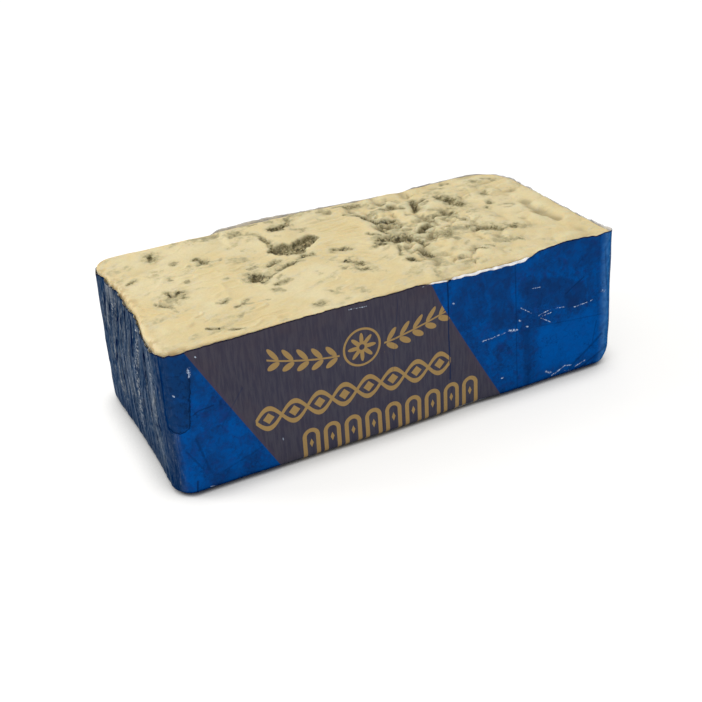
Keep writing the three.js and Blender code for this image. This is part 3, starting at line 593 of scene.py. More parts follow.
class Outline:
    """A rounded rectangle walked counter-clockwise from the left end of its front side."""

    def __init__(self):
        corners = [
            ("front", 0, HALF_X, -HALF_Y, UPRIGHT_RADII["front_right"]),
            ("right", 90, HALF_X, HALF_Y, UPRIGHT_RADII["back_right"]),
            ("back", 180, -HALF_X, HALF_Y, UPRIGHT_RADII["back_left"]),
            ("left", 270, -HALF_X, -HALF_Y, UPRIGHT_RADII["front_left"]),
        ]
        self.pieces = []
        start = 0.0
        for i, (side, turn, cx, cy, radius) in enumerate(corners):
            before = corners[i - 1][4]
            straight = 2 * (HALF_Y if i % 2 else HALF_X) - before - radius
            arc = radius * math.pi / 2
            self.pieces.append((side, math.radians(turn), cx, cy, radius, start, straight, arc, before))
            start += straight + arc
        self.total = start

    def at(self, s):
        """Points and outward normals at distances s along the outline."""
        s = np.mod(s, self.total)
        index = np.searchsorted([p[5] for p in self.pieces], s + 1e-9) - 1
        turn, cx, cy, radius, start, straight = (
            np.array([p[k] for p in self.pieces])[index] for k in (1, 2, 3, 4, 5, 6)
        )
        ahead = np.stack([np.cos(turn), np.sin(turn)], -1)
        outward = np.stack([np.sin(turn), -np.cos(turn)], -1)
        on_arc = np.maximum(0, s - start - straight)
        swing = on_arc / radius
        normal = outward * np.cos(swing)[:, None] + ahead * np.sin(swing)[:, None]
        corner = np.stack([cx, cy], -1)
        flat = corner - ahead * (np.maximum(0, straight - (s - start)) + radius)[:, None]
        curved = corner - (ahead + outward) * radius[:, None] + normal * radius[:, None]
        point = np.where((on_arc > 0)[:, None], curved, flat)
        return point, normal

    def find(self, side, where):
        """Distance along the outline of a place given by its side and its x or y."""
        i = [p[0] for p in self.pieces].index(side)
        sign = 1 if i < 2 else -1
        half = HALF_Y if i % 2 else HALF_X
        return self.pieces[i][5] + sign * where + half - self.pieces[i][8]

    def stations(self, steps):
        """Distances along the outline, closer together on some sides than on others."""
        runs = []
        for side, _, _, _, _, start, straight, arc, _ in self.pieces:
            stretches = [(start, straight, steps[side]), (start + straight, arc, steps["corner"])]
            for begin, length, step in stretches:
                count = max(1, round(length / step))
                runs.append(begin + length * np.arange(count) / count)
        return np.concatenate(runs)


outline = Outline()

# Heights of the wrapper's ragged rim: side, place along it, height
RIM = [
    ("front", -92, 67.2), ("front", -40, 68), ("front", 6, 68), ("front", 18, 67.6), ("front", 34, 67.1),
    ("front", 55, 66.9), ("front", 61, 67.8), ("front", 68, 69.4), ("front", 80, 70.2),
    ("front", 90, 69.8), ("front", 97, 69), ("front", 101, 69.6),
    ("right", -44, 68), ("right", -36, 67.2), ("right", 0, 67), ("right", 34, 67),
    ("back", 90, 67.1), ("back", 60, 67), ("back", 50, 65), ("back", 38, 66.7), ("back", 22, 67.3),
    ("back", 4, 68.1), ("back", -30, 69.2), ("back", -45, 68.8), ("back", -52, 66.4), ("back", -84, 67),
    ("left", 40, 66), ("left", 31, 67), ("left", 27, 66), ("left", 16, 67), ("left", 2, 65.8),
    ("left", -10, 67.1), ("left", -20, 66.3), ("left", -28, 64.8),
]
RAGGED_RIM = {"rim_long": 0.2, "rim_short": 0.12}
RAGGED_LEFT = 0.55  # the rim of the left end is more ragged

# The lip bends over the rim of the printed side, from one place along x to another
LIP = {"from": 8, "to": 65, "in": 4, "off": 7, "out": 3.1, "wide": 2.9, "fall": 0.1, "arch": 0.4}
LIFTED_DEPTH = 14  # how far below the rim the foil is still lifted
# A crease nips the lip, which is narrow left of it
PINCH = {"x": 20.3, "reach": 1.2, "depth": 0.7, "left_share": 0.85}

# Pleats of the gathered ends: how many, how high they stand and how far they lean over the full height.
# They are pressed flat towards the base.
PLEATS = {
    "left": {"count": 17, "height": 1.4, "lean": 5, "seed": 61},
    "right": {"count": 12, "height": 1.3, "lean": -4, "seed": 62},
}
STEEP_SIDE = 0.28  # width of a pleat's steep side, as a share of the distance between pleats
PRESSED = {"share": 0.7, "height": 26}
NARROW_PLEATS = {"height": 0.35, "y": 1.9, "z": 26, "seed": 64}
CRUSHED_HEIGHT = 0.35

# Flat panels that handling has pressed into the foil: size along and up, height, seed
PANELS = [(21, 17, 0.34, 101), (8, 7, 0.1, 111)]
PANELS_ON_END = 0.4  # share of their height that is left on the gathered ends

# The rounded end of the flap that is folded round the corner from the gathered end
FLAP = {
    "edge": -97.2, "bottom": 31, "height": 0.55,
    "slant": 0.12, "slant_top": 50, "curve": 0.16, "middle": 6,
}

# On the gathered left end: crumpled bands like ladders, with painted sparkles, and gaps between pleats
# darkened with painted shade.
# From y and height, to y and height, half width
END_START = 153.5  # added to y, this is how far a place on the left end is along the print, leftwards
LADDERS = [
    (-15.5, 66, -10, 41, 4.4),
    (-10, 41, -4.5, 11, 4),
    (-33, 62, -35, 50, 2.4),
    (22, 60, 26, 30, 2.2),
]
SHADED_GAPS = [
    (-4, 66, -7, 47, 1.3),
    (-26, 57, -16, 30, 1.1),
    (-16, 30, -18, 18, 1.3),
    (18, 43, 28, 9, 1),
    (-12, 6, -20, 9, 0.6),
    (4, 63, 2, 46, 0.45),
    (14, 58, 12, 30, 0.4),
]

RIM_TURN = 67  # the back has the creases the other way up: a height there is this less the height here

# Creases of the printed side and of the back: from along and up, to along and up, half width, how dark the
# painted shade along them is, height
CREASES = [
    (19.6, 69, 20.6, 18, 0.6, 0.95, 0.6),
    (53.9, 64, 55.2, 33, 0.5, 0.5, 0.4),
    (55.2, 33, 55.8, 3, 0.5, 0.4, 0.2),
    (60.4, 32, 61.4, 3, 3, 0.3, 0.5),
    (36, 31.4, 58, 33.4, 0.5, 0.2, 0.5),
    (57.4, 43.3, 66.3, 36.8, 0.4, 0.25, 0.35),
    (66.3, 36.8, 96, 37, 0.5, 0.25, 0.45),
    (68, 35.3, 75, 30.6, 0.4, 0.2, 0.25),
    (80.8, 44, 90.6, 49.8, 0.5, 0.7, 0.3),
    (66, 31.4, 100, 28, 0.5, 0.35, 0.25),
    (84, 4, 101, 17, 1.2, 0.5, 0.35),
    (90, 2, 103, 9, 0.9, 0.5, 0.35),
    (96, 14, 98, 25, 0.6, 0.4, 0.3),
    (101.6, 62, 104, 34, 0.8, 0.35, 0.3),
    (-97.4, 38.2, -95, 39.5, 0.5, 0.7, 0.3),
    (-95, 39.5, -88.6, 40.2, 0.5, 0.7, 0.3),
    (-97.4, 27, -93.6, 11, 1, 0.5, 0.4),
    (-101.6, 22, -96.4, 12.6, 0.7, 0.4, 0.3),
    (-99, 7, -99.8, 0.6, 0.6, 0.8, 0.3),
    (-86, 30, -76, 44, 0.6, 0.3, 0.3),
    (-88, 8, -70, 14, 0.7, 0.3, 0.3),
    (-4, 67, -8, 30, 0.35, 0.3, 0.2),
]

# Wrinkles low on the right of the printed side: middle and reach along x and up
LOW_WRINKLES = {"height": 0.4, "x": (81, 10), "z": (4, 3)}

# Painted reflections: darker panes of the blue between creases, four corners counter-clockwise, along and
# up, then how dark
DARK_REFLECTION_PANES = [
    ((58, 44.6), (92, 35.5), (91, 49), (58, 57), 0.75),
    ((82, 57), (101, 55), (100, 69), (80, 71), 0.5),
    ((22, 38), (40, 45), (39, 66), (21, 68), 0.5),
    ((42, 36), (54.5, 34), (53.8, 62), (40, 63), 0.6),
    ((59, 3), (65, 3), (65.5, 31), (58, 33), 0.3),
    ((92, 36), (101, 39), (101, 54), (91, 50), 0.22),
    ((27, 12), (37, 8), (38, 30), (24, 34), 0.16),
    ((-94, 3), (-84, 4), (-88, 27), (-93, 27), 0.25),
]

# A brighter pane of the blue, a painted reflection
BRIGHT_REFLECTION_PANE = ((66, 5), (100, 8), (99, 33), (66, 30))

# Painted glints of light where the print is cracked and the bare foil shows, along creases:
# from along and up, to along and up, half width, share left
GLINTS = [
    (37.6, 31.9, 49, 33, 0.34, 0.4), (51.6, 33.4, 55.4, 33, 0.6, 0.8),
    (56.6, 37.2, 57.4, 36.7, 0.36, 1), (60.5, 33.2, 61.2, 32.8, 0.36, 1),
    (57.4, 43.3, 63.6, 38.8, 0.21, 0.7), (66.3, 36.8, 73, 38.3, 0.22, 0.75),
    (68.6, 36, 73.4, 36.6, 0.18, 0.7), (68, 35.3, 74, 31.3, 0.19, 0.7),
    (75.6, 38.2, 80.8, 37.5, 0.28, 0.5), (85.6, 36, 92.6, 36.5, 0.32, 0.8),
    (94.4, 36.7, 95.4, 36.9, 0.24, 0.8), (63.2, 51.5, 67.4, 51.1, 0.21, 0.8),
    (101, 39.9, 102, 39.6, 0.72, 0.7), (22.4, 55.1, 22.8, 54.9, 0.36, 1),
    (105.3, 56.6, 105.5, 56, 0.32, 1), (105, 48, 105.1, 47.4, 0.28, 1), (47.4, 10, 48.2, 10, 0.32, 0.9),
    (71, 6, 74.4, 4.4, 0.5, 0.9), (74.4, 2.8, 77.8, 4, 0.45, 0.9), (77.8, 4, 81.2, 6, 0.3, 0.9),
    (81.2, 6, 84.8, 5.2, 0.3, 0.9), (81.3, 3.2, 85, 2.1, 0.3, 0.8), (86.4, 3.7, 92.4, 5.2, 0.34, 0.65),
    (24, 1.3, 40, 0.7, 0.6, 0.9), (-97, 59.2, -96.9, 56, 0.76, 0.75),
    (-103.7, 48.8, -103.3, 48.4, 0.36, 1), (-93.8, 2.3, -91.6, 1.7, 0.4, 0.9),
    (-93.6, 63.5, -93.2, 63.3, 0.32, 1), (-60.9, 14.8, -60.7, 13.8, 0.28, 1),
    (-27, 65.7, -19, 65.3, 0.24, 0.45), (8, 66.8, 16, 66.6, 0.24, 0.4),
]


# Folds of the underside: the long seam, the flaps at the ends, and the height of one fold over the next
SEAM = {"y": 6, "swing": 0.8}
END_FLAP = {"tip": 52, "slope": 0.9}
FOLD_STEP = 0.14


def rim_height(s, on_left):
    """Height of the wrapper's ragged rim at distances s along the outline."""
    marks = sorted((outline.find(side, where), z) for side, where, z in RIM)
    places = np.array([m[0] for m in marks])
    heights = np.array([m[1] for m in marks])
    after = np.searchsorted(places, s) % len(marks)
    before = after - 1
    gap = np.mod(places[after] - places[before], outline.total)
    part = np.mod(s - places[before], outline.total) / gap
    ragged = sum(height * texture(name, s) for name, height in RAGGED_RIM.items())
    ragged = ragged + on_left * RAGGED_LEFT * texture("rim_left", s)
    return mix(heights[before], heights[after], smooth(part)) + ragged


def pleat_relief(end, across, z):
    """Each pleat rises slowly on one side and drops steeply on the other."""
    h = np.zeros(across.shape)
    spacing = 2 * HALF_Y / end["count"]
    for i in range(end["count"]):
        place, slope, size, width = (lattice_value(i, row, end["seed"]) for row in range(4))
        middle = -HALF_Y + spacing * (i + 0.2 + 0.6 * place)
        lean = end["lean"] * (slope - 0.2) * (z / HEIGHT - 0.5)
        tall = end["height"] * (0.45 + 0.55 * size) * (0.75 + 0.25 * noise(z / 16, i, end["seed"]))
        off = across - middle - lean
        reach = np.where(off < 0, spacing * (0.5 + 0.6 * width), spacing * STEEP_SIDE)
        h = np.maximum(h, tall * smooth(1 - np.abs(off) / reach))
    return h


def facets(x, y, seed):
    """Noise made of flat triangles that meet in creases, from -1 to 1."""
    wx = x + 0.45 * noise(0.8 * x, 0.8 * y, seed + 1)
    wy = y + 0.45 * noise(0.8 * x, 0.8 * y, seed + 2)
    ix, iy = np.floor(wx), np.floor(wy)
    fx, fy = wx - ix, wy - iy
    side_x = lattice_value(ix + 1, iy, seed)
    side_y = lattice_value(ix, iy + 1, seed)
    low = lattice_value(ix, iy, seed)
    high = lattice_value(ix + 1, iy + 1, seed)
    lower = low + fx * (side_x - low) + fy * (side_y - low)
    upper = high + (1 - fx) * (side_y - high) + (1 - fy) * (side_x - high)
    return 2 * np.where(fx + fy > 1, upper, lower) - 1


def end_folds(y, z, on_left):
    """Relief of the gathered ends: large and narrow pleats, and two crushed bands on the left."""
    pleats = np.where(on_left, pleat_relief(PLEATS["left"], y, z), pleat_relief(PLEATS["right"], y, z))
    # The first crushed band leans across the end, and the second follows the pleats
    slant = y + 0.06 * (z - 30) + 0.8 * texture("fold_slant", y, z)
    sharp = crests(slant / NARROW_PLEATS["y"], z / NARROW_PLEATS["z"], NARROW_PLEATS["seed"]) ** 3
    crushed = bump(y + 0.2 * z, -2.3, 4) * crests(y / 2.6, z / 1.5, 65) ** 2
    crushed = crushed + bump(slant, -38, 3) * crests(y / 2.2, z / 2, 66) ** 2
    pressed = 1 - PRESSED["share"] * ramp(PRESSED["height"], 0, z)
    return (pleats + NARROW_PLEATS["height"] * sharp + CRUSHED_HEIGHT * on_left * crushed) * pressed


def foil_relief(s, x, y, nx, ny, z):
    """How far the wrapper stands out of its smooth form."""
    on_end = ramp(0.5, 0.95, np.abs(nx))
    h = on_end * end_folds(y, z, nx < 0)
    for size, rise, height, seed in PANELS:
        h = h + height * (1 + facets(s / size, z / rise, seed)) * (1 - (1 - PANELS_ON_END) * on_end)
    on_front = (ny < -0.5).astype(float)
    up = np.where(ny > 0.5, RIM_TURN - z, z)
    uneven = 0.6 + 0.4 * texture("crease", x, z)
    for ax, az, bx, bz, half, _, height in CREASES:
        off, _ = line_distance(ax, az, bx, bz, x, up)
        h = h + (np.abs(ny) > 0.5) * height * uneven * np.exp(-off / (half + 0.5))
    h = h + on_front * FLAP["height"] * ramp(0.5, -0.5, flap_edge(x, z))
    low = bump(x, *LOW_WRINKLES["x"]) * bump(z, *LOW_WRINKLES["z"])
    low = low * crests(x / 6, z / 1.1 + 0.12 * x, 123) ** 2
    return (h + on_front * LOW_WRINKLES["height"] * low) * ramp(0, FOOT_RADIUS, z)


def flap_edge(x, z):
    """Distance to the round edge of the flap, negative on the flap."""
    beside = x - FLAP["edge"] - FLAP["slant"] * np.minimum(0, z - FLAP["slant_top"])
    below = FLAP["bottom"] + FLAP["curve"] * (x - FLAP["edge"] + FLAP["middle"]) ** 2 - z
    return np.maximum(beside, below)


# Meshes

def standing(x, y, nx, ny, out, z):
    """Points beside places on the outline, moved with the spread base, the corner and the tuck."""
    px, py = x + out * nx, y + out * ny
    for mx, my, reach, shift_x, shift_y in BASE_SPREAD:
        share = bump(np.hypot(x - mx, y - my), 0, reach) * (1 - z / HEIGHT)
        px = px + shift_x * share
        py = py + shift_y * share
    off = np.hypot(x - CORNER["x"], y - CORNER["y"])
    rounded = bump(off, 0, CORNER["foot_reach"]) * ramp(CORNER["foot_height"], 0, z) ** 2
    px = px + CORNER["out"] * bump(off, 0, CORNER["reach"]) - CORNER["foot"] * rounded
    tucked = np.exp(-(((y - TUCK["y"]) / TUCK["reach"]) ** 4)) * ramp(TUCK["from"], TUCK["to"], z)
    px = px + TUCK["depth"] * tucked * ramp(TUCK["fade_from"], TUCK["fade_to"], x)
    return np.stack(np.broadcast_arrays(px, py, z), -1)


def add_mesh(name, points, faces, materials, face_materials=None):
    """An object in the row frame from points in millimetres."""
    mesh = bpy.data.meshes.new(name)
    mesh.from_pydata((points * MM).tolist(), [], faces)
    for material in materials:
        mesh.materials.append(material)
    if face_materials is not None:
        mesh.polygons.foreach_set("material_index", face_materials)
    mesh.polygons.foreach_set("use_smooth", np.ones(len(mesh.polygons), bool))
    mesh.update()
    piece = bpy.data.objects.new(name, mesh)
    bpy.context.scene.collection.objects.link(piece)
    return piece


def add_values(piece, name, values):
    """A number on each vertex, for the materials."""
    layer = piece.data.attributes.new(name, "FLOAT", "POINT")
    layer.data.foreach_set("value", np.asarray(values, np.float32))


def band(upper, lower):
    """Quads between two closed rings of vertex numbers, facing out when the rings run counter-clockwise."""
    return np.stack([upper, lower, np.roll(lower, -1), np.roll(upper, -1)], -1)


def grid_lines(half):
    """Places of the cut face's grid lines along one axis, closer together near the rim."""
    inner = half - CHEESE_RIM_INSETS[-1]
    count = round(2 * inner / CHEESE_STEP)
    even = np.linspace(-inner, inner, count + 1)[1:-1]
    rim = np.array(CHEESE_RIM_INSETS)
    return np.concatenate([rim - half, even, (half - rim)[::-1]])


def round_corners(x, y, half_x, half_y):
    """Bends a rectangle to the rounded one. Returns points, outward normals and distances from the rim."""
    inset = np.minimum(half_x - np.abs(x), half_y - np.abs(y))
    names = [("front_left", -1, -1), ("front_right", 1, -1), ("back_right", 1, 1), ("back_left", -1, 1)]
    radius = np.zeros(x.shape)
    for name, sx, sy in names:
        radius[(np.sign(x + 1e-9) == sx) & (np.sign(y + 1e-9) == sy)] = UPRIGHT_RADII[name] - SKIN
    r = radius - inset
    level = half_y - np.abs(y) <= half_x - np.abs(x)
    past = np.where(level, np.abs(x) - (half_x - radius), np.abs(y) - (half_y - radius))
    bent = (r > 0) & (past > 0)
    share = np.radians(45 * past / np.where(r > 0, r, 1))
    angle = np.where(level, math.pi / 2 - share, share)
    nx = np.where(bent, np.sign(x) * np.cos(angle), np.where(level, 0, np.sign(x)))
    ny = np.where(bent, np.sign(y) * np.sin(angle), np.where(level, np.sign(y), 0))
    px = np.where(bent, np.sign(x) * (half_x - radius) + r * nx, x)
    py = np.where(bent, np.sign(y) * (half_y - radius) + r * ny, y)
    return px, py, nx, ny, inset


def foot_curve(radius):
    """How far each level of a rounded foot is pulled in, and its height."""
    for k in range(FOOT_STEPS + 1):
        angle = k / FOOT_STEPS * math.pi / 2
        yield radius * (1 - math.cos(angle)), FOOT_RADIUS - radius * math.sin(angle)


def make_cheese(material):
    """The cut face is a grid, and rings below its rim make the walls and the foot."""
    half_x, half_y = HALF_X - SKIN, HALF_Y - SKIN
    gx, gy = np.meshgrid(grid_lines(half_x), grid_lines(half_y))
    x, y, nx, ny, inset = round_corners(gx, gy, half_x, half_y)
    mould, depth = streaked(x, y)
    worn = mix(WORN_RIM["plain"], WORN_RIM["left_end"], ramp(*WORN_RIM["x"], x) * ramp(*WORN_RIM["y"], y))
    drop = worn * (1 - np.sqrt(1 - clamp01(1 - inset / worn) ** 2))
    face = cut_face(x, y) + fine_face(x, y, mould) - depth
    z = HEIGHT + face * ramp(-3, 6, inset) - drop
    rows, columns = x.shape
    number = np.arange(rows * columns).reshape(rows, columns)
    quads = np.stack([number[:-1, :-1], number[:-1, 1:], number[1:, 1:], number[1:, :-1]], -1)
    points = [standing(x, y, nx, ny, 0, z).reshape(-1, 3)]
    walk = np.concatenate([number[0, :-1], number[:-1, -1], number[-1, :0:-1], number[:0:-1, 0]])
    wall_x, wall_y, wall_nx, wall_ny, rim = (a.reshape(-1)[walk] for a in (x, y, nx, ny, z))
    levels = [(0.0, np.maximum(FOOT_RADIUS, rim - below)) for below in CHEESE_WALL_DEPTHS]
    for pulled_in, level in foot_curve(FOOT_RADIUS - SKIN):
        levels.append((pulled_in, np.full(walk.shape, level)))
    first = rows * columns
    above = walk
    faces = [quads.reshape(-1, 4)]
    for k, (pulled_in, level) in enumerate(levels):
        swell = 0
        if k < len(CHEESE_WALL_DEPTHS):
            along, up = WALL_SWELL["along"], WALL_SWELL["up"]
            swell = noise(wall_x / along, level / up + wall_y / along, WALL_SWELL["seed"])
            swell = WALL_SWELL["height"] * swell
        points.append(standing(wall_x, wall_y, wall_nx, wall_ny, swell - pulled_in, level))
        below = np.arange(first, first + len(walk))
        faces.append(band(above, below))
        above = below
        first += len(walk)
    points = np.concatenate(points)
    face_list = np.concatenate(faces).tolist() + [above[::-1].tolist()]
    piece = add_mesh("blue_cheese", points, face_list, [material])
    extra = len(points) - rows * columns
    local = face - blurred(face, BLUR_NEAR)
    on_left_rim = ramp(*BUTTER_RIM["left_x"], x)
    rim_width = mix(BUTTER_RIM["width"], BUTTER_RIM["width_left"], on_left_rim)
    rim_share = (1 - ramp(BUTTER_RIM["from"], rim_width, inset)) * mix(BUTTER_RIM["share"], 1, on_left_rim)
    # For each name, the values on the cut face and the one value of the walls
    values = {
        "mould": (mould * ramp(0, 2, inset), 0.0),
        # The next two are masks for painted shade in small and broad hollows
        "hollow_shade": (ramp(0, 1.0, -local), 0.0),
        "dip_shade": (ramp(0, 1.3, blurred(face, BLUR_FAR) - blurred(face, BLUR_FINE)), 0.0),
        "side": (np.zeros(x.shape), 1.0),
        # A mask for the painted highlight on raised crests
        "crest": (ramp(0.05, 0.8, local), 0.0),
        "broken": (broken_part(x, y), 0.0),
        "rim": (rim_share, 1.0),
    }
    for name, (on_face, on_walls) in values.items():
        add_values(piece, name, np.concatenate([on_face.reshape(-1), np.full(extra, on_walls)]))
    return piece


def wrapped(distance):
    """A distance along the outline, from minus to plus half of the whole way round."""
    return np.mod(distance + outline.total / 2, outline.total) - outline.total / 2


def print_places(s):
    """Distances along the printed side, equal to x on its straight part and carried on round the corners.

    The second ones go back to the other end along the back.
    """
    along = wrapped(wrapped(s) - outline.find("front", 0))
    to_back = outline.find("back", 0) - outline.find("front", 0)
    ahead = np.minimum(along, to_back - along)
    behind = np.maximum(along, to_back - outline.total - along)
    return along, np.where(along > 0, ahead, behind)


def make_foil(outer_material, lining_material):
    """Rings run from the rim down the outer face to the middle of the base, and others line the inside."""
    s = outline.stations(FOIL_STEPS)
    plan, normal = outline.at(s)
    x, y, nx, ny = plan[:, 0], plan[:, 1], normal[:, 0], normal[:, 1]
    rim = rim_height(s, nx < -0.5)
    count = len(s)
    along, creased = print_places(s)
    on_lip = ramp(LIP["from"], LIP["from"] + LIP["in"], x) * ramp(LIP["to"], LIP["to"] - LIP["off"], x)
    on_lip = on_lip * (ny < -0.5)
    narrow = mix(PINCH["left_share"], 1, ramp(PINCH["x"], PINCH["x"] + 3, x))
    on_lip = on_lip * narrow * (1 - PINCH["depth"] * bump(x, PINCH["x"], PINCH["reach"]))

    def ring(out, z):
        return standing(x, y, nx, ny, out, np.broadcast_to(z, x.shape))

    def row_height(j):
        return mix(rim, FOOT_RADIUS, (j / FOIL_ROWS) ** ROW_CROWDING)

    def wall(z):
        """Outer face of the wrapper: how far out, height and tilt. Near the rim the lip bends over."""
        below_rim = rim - z
        out = foil_relief(s, x, y, nx, ny, z)
        part = clamp01(1 - below_rim / LIP["wide"])
        lifted = (LIP["wide"] - LIP["fall"]) * ramp(LIFTED_DEPTH, LIP["wide"], below_rim)
        bent = below_rim - LIP["fall"] + LIP["arch"] * np.sin(math.pi * part)
        over = on_lip * (0.8 + 0.2 * texture("lip", x))
        height = z + on_lip * np.where(part > 0, bent, lifted)
        return out + over * LIP["out"] * part**2 / (part + 0.15), height, over * ramp(0, 0.3, part)

    rings, unrolled, folds, lowered = [], [], [], []
    for j in range(FOIL_ROWS):
        z = row_height(j)
        out, height, _ = wall(z)
        rings.append(ring(out, height))
        unrolled.append(z)
        lowered.append(rim - z)
        folds.append(end_folds(y, z, nx < 0))
    for k in range(FOOT_ROWS + 1):
        angle = k / FOOT_ROWS * math.pi / 2
        z = np.full(count, FOOT_RADIUS * (1 - math.sin(angle)))
        out = foil_relief(s, x, y, nx, ny, z) - FOOT_RADIUS * (1 - math.cos(angle))
        rings.append(ring(out, z))
        unrolled.append(np.full(count, FOOT_RADIUS * (1 - angle)))
    foot_ring = rings[-1]
    end_of_foot = unrolled[-1][0]
    for k in range(1, UNDERSIDE_RINGS + 1):
        part = 1 - k / (UNDERSIDE_RINGS + 1)
        flat = foot_ring * np.array([part, part, 0])
        flat[:, 2] = underside_relief(flat[:, 0], flat[:, 1])
        rings.append(flat)
        unrolled.append(np.full(count, end_of_foot) - (1 - part) * UNDERSIDE_PRINT)
    # The lining follows the outer face near the rim, and runs smoothly below
    lining = []
    for j in LINING_ROWS:
        out, height, tilt = wall(row_height(j))
        follow = 1 - ramp(6, 10, j * 0.5)
        lining.append(ring(mix(-0.2, out - SHEET * (1 - tilt), follow), height + SHEET * tilt))
    for pulled_in, level in foot_curve(FOOT_RADIUS - LINING_INSET):
        lining.append(ring(-LINING_INSET - pulled_in, level))

    def number(i):
        return np.arange(i * count, (i + 1) * count)

    first = len(rings)
    repeats = first + len(lining)
    faces = [band(number(i), number(i + 1)) for i in range(first - 1)]
    outer_list = np.concatenate(faces).tolist() + [number(first - 1)[::-1].tolist()]
    inner = [band(number(i + 1), number(i)) for i in range(first, repeats - 1)]
    edge = band(number(first), number(0))
    inner_list = np.concatenate(inner + [edge]).tolist() + [number(repeats - 1).tolist()]
    # The edge of the sheet, last but for the closing face, has the outer material
    slots = np.array([0] * len(outer_list) + [1] * len(inner_list), np.int32)
    slots[-1 - count:-1] = 0
    materials = [outer_material, lining_material]
    points = np.concatenate(rings + lining)
    piece = add_mesh("foil_wrapper", points, outer_list + inner_list, materials, slots)
    heights = np.concatenate(unrolled + [np.zeros(count)] * len(lining))
    pleated = ramp(0.4, 0.85, np.abs(nx)) * np.where(nx < 0, 1, 0.6)
    unfolded = repeats - len(folds)
    values = {
        "print_along": np.tile(along, repeats),
        "print_up": heights,
        "crease_along": np.tile(creased, repeats),
        "crease_up": np.where(np.tile(ny, repeats) > 0.3, RIM_TURN - heights, heights),
        "printed": np.tile(ny < 0.3, repeats),
        "pleated": np.tile(pleated, repeats),
        "fold": np.concatenate(folds + [np.full(count, 0.3)] * unfolded),
        "below_rim": np.concatenate(lowered + [rim] * unfolded),
    }
    for name, on_vertices in values.items():
        add_values(piece, name, on_vertices)
    return piece


def underside_relief(x, y):
    """The base is folded like an envelope: a long seam, and a triangular flap at each end."""
    seam = ramp(-0.5, 0.5, y - SEAM["y"] - SEAM["swing"] * texture("seam", x))
    flap = ramp(-0.5, 0.5, np.abs(x) - END_FLAP["tip"] - END_FLAP["slope"] * np.abs(y))
    rise = 2 * FOLD_STEP - FOLD_STEP * seam - FOLD_STEP * flap
    fade = ramp(0, 8, np.minimum(HALF_X - 7 - np.abs(x), HALF_Y - 7 - np.abs(y)))
    return np.maximum(0, rise + 0.05 * texture("underside", x, y)) * fade


# Materials

class Term:
    """A node's output or a number, that sums can be written with."""

    def __init__(self, graph, source):
        self.graph = graph
        self.source = source

    def maths(self, operation, *others):
        node = self.graph.node("Math")
        node.operation = operation
        for socket, value in zip(node.inputs, (self, *others)):
            self.graph.feed(socket, value)
        return Term(self.graph, node.outputs[0])

    def __add__(self, other):
        return self.maths("ADD", other)

    def __sub__(self, other):
        return self.maths("SUBTRACT", other)

    def __mul__(self, other):
        return self.maths("MULTIPLY", other)

    def __rsub__(self, other):
        return self * -1 + other

    def __abs__(self):
        return self.maths("ABSOLUTE")

    def lowest(self, other):
        return self.maths("MINIMUM", other)

    def highest(self, other):
        return self.maths("MAXIMUM", other)

    def repeat(self, period):
        """Signed distance from the middle of the cell that a value falls in, in a row of equal cells."""
        return self.maths("FLOORED_MODULO", period) - period / 2

    def ramp(self, start, end):
        """0 at start, 1 at end, smooth between."""
        rising = float(start < end)
        node = self.graph.node("MapRange", Value=self, From_Min=min(start, end), From_Max=max(start, end))
        self.graph.feed_all(node, To_Min=1 - rising, To_Max=rising)
        node.interpolation_type = "SMOOTHSTEP"
        node.clamp = False
        return Term(self.graph, node.outputs["Result"])


def combined(terms, operation):
    """One term from many. Each is taken in before the next is made, so that few values are kept."""
    total = None
    for term in terms:
        total = term if total is None else total.maths(operation, term)
    return total


def inside_corners(x, y, corners):
    """Distance from the nearest side of a shape with straight sides, positive inside it."""
    def from_side(ax, ay, bx, by):
        long = math.hypot(bx - ax, by - ay)
        offset = (ax * (by - ay) - ay * (bx - ax)) / long
        return y * ((bx - ax) / long) - x * ((by - ay) / long) + offset

    sides = zip(corners, corners[1:] + corners[:1])
    return combined((from_side(*start, *end) for start, end in sides), "MINIMUM")


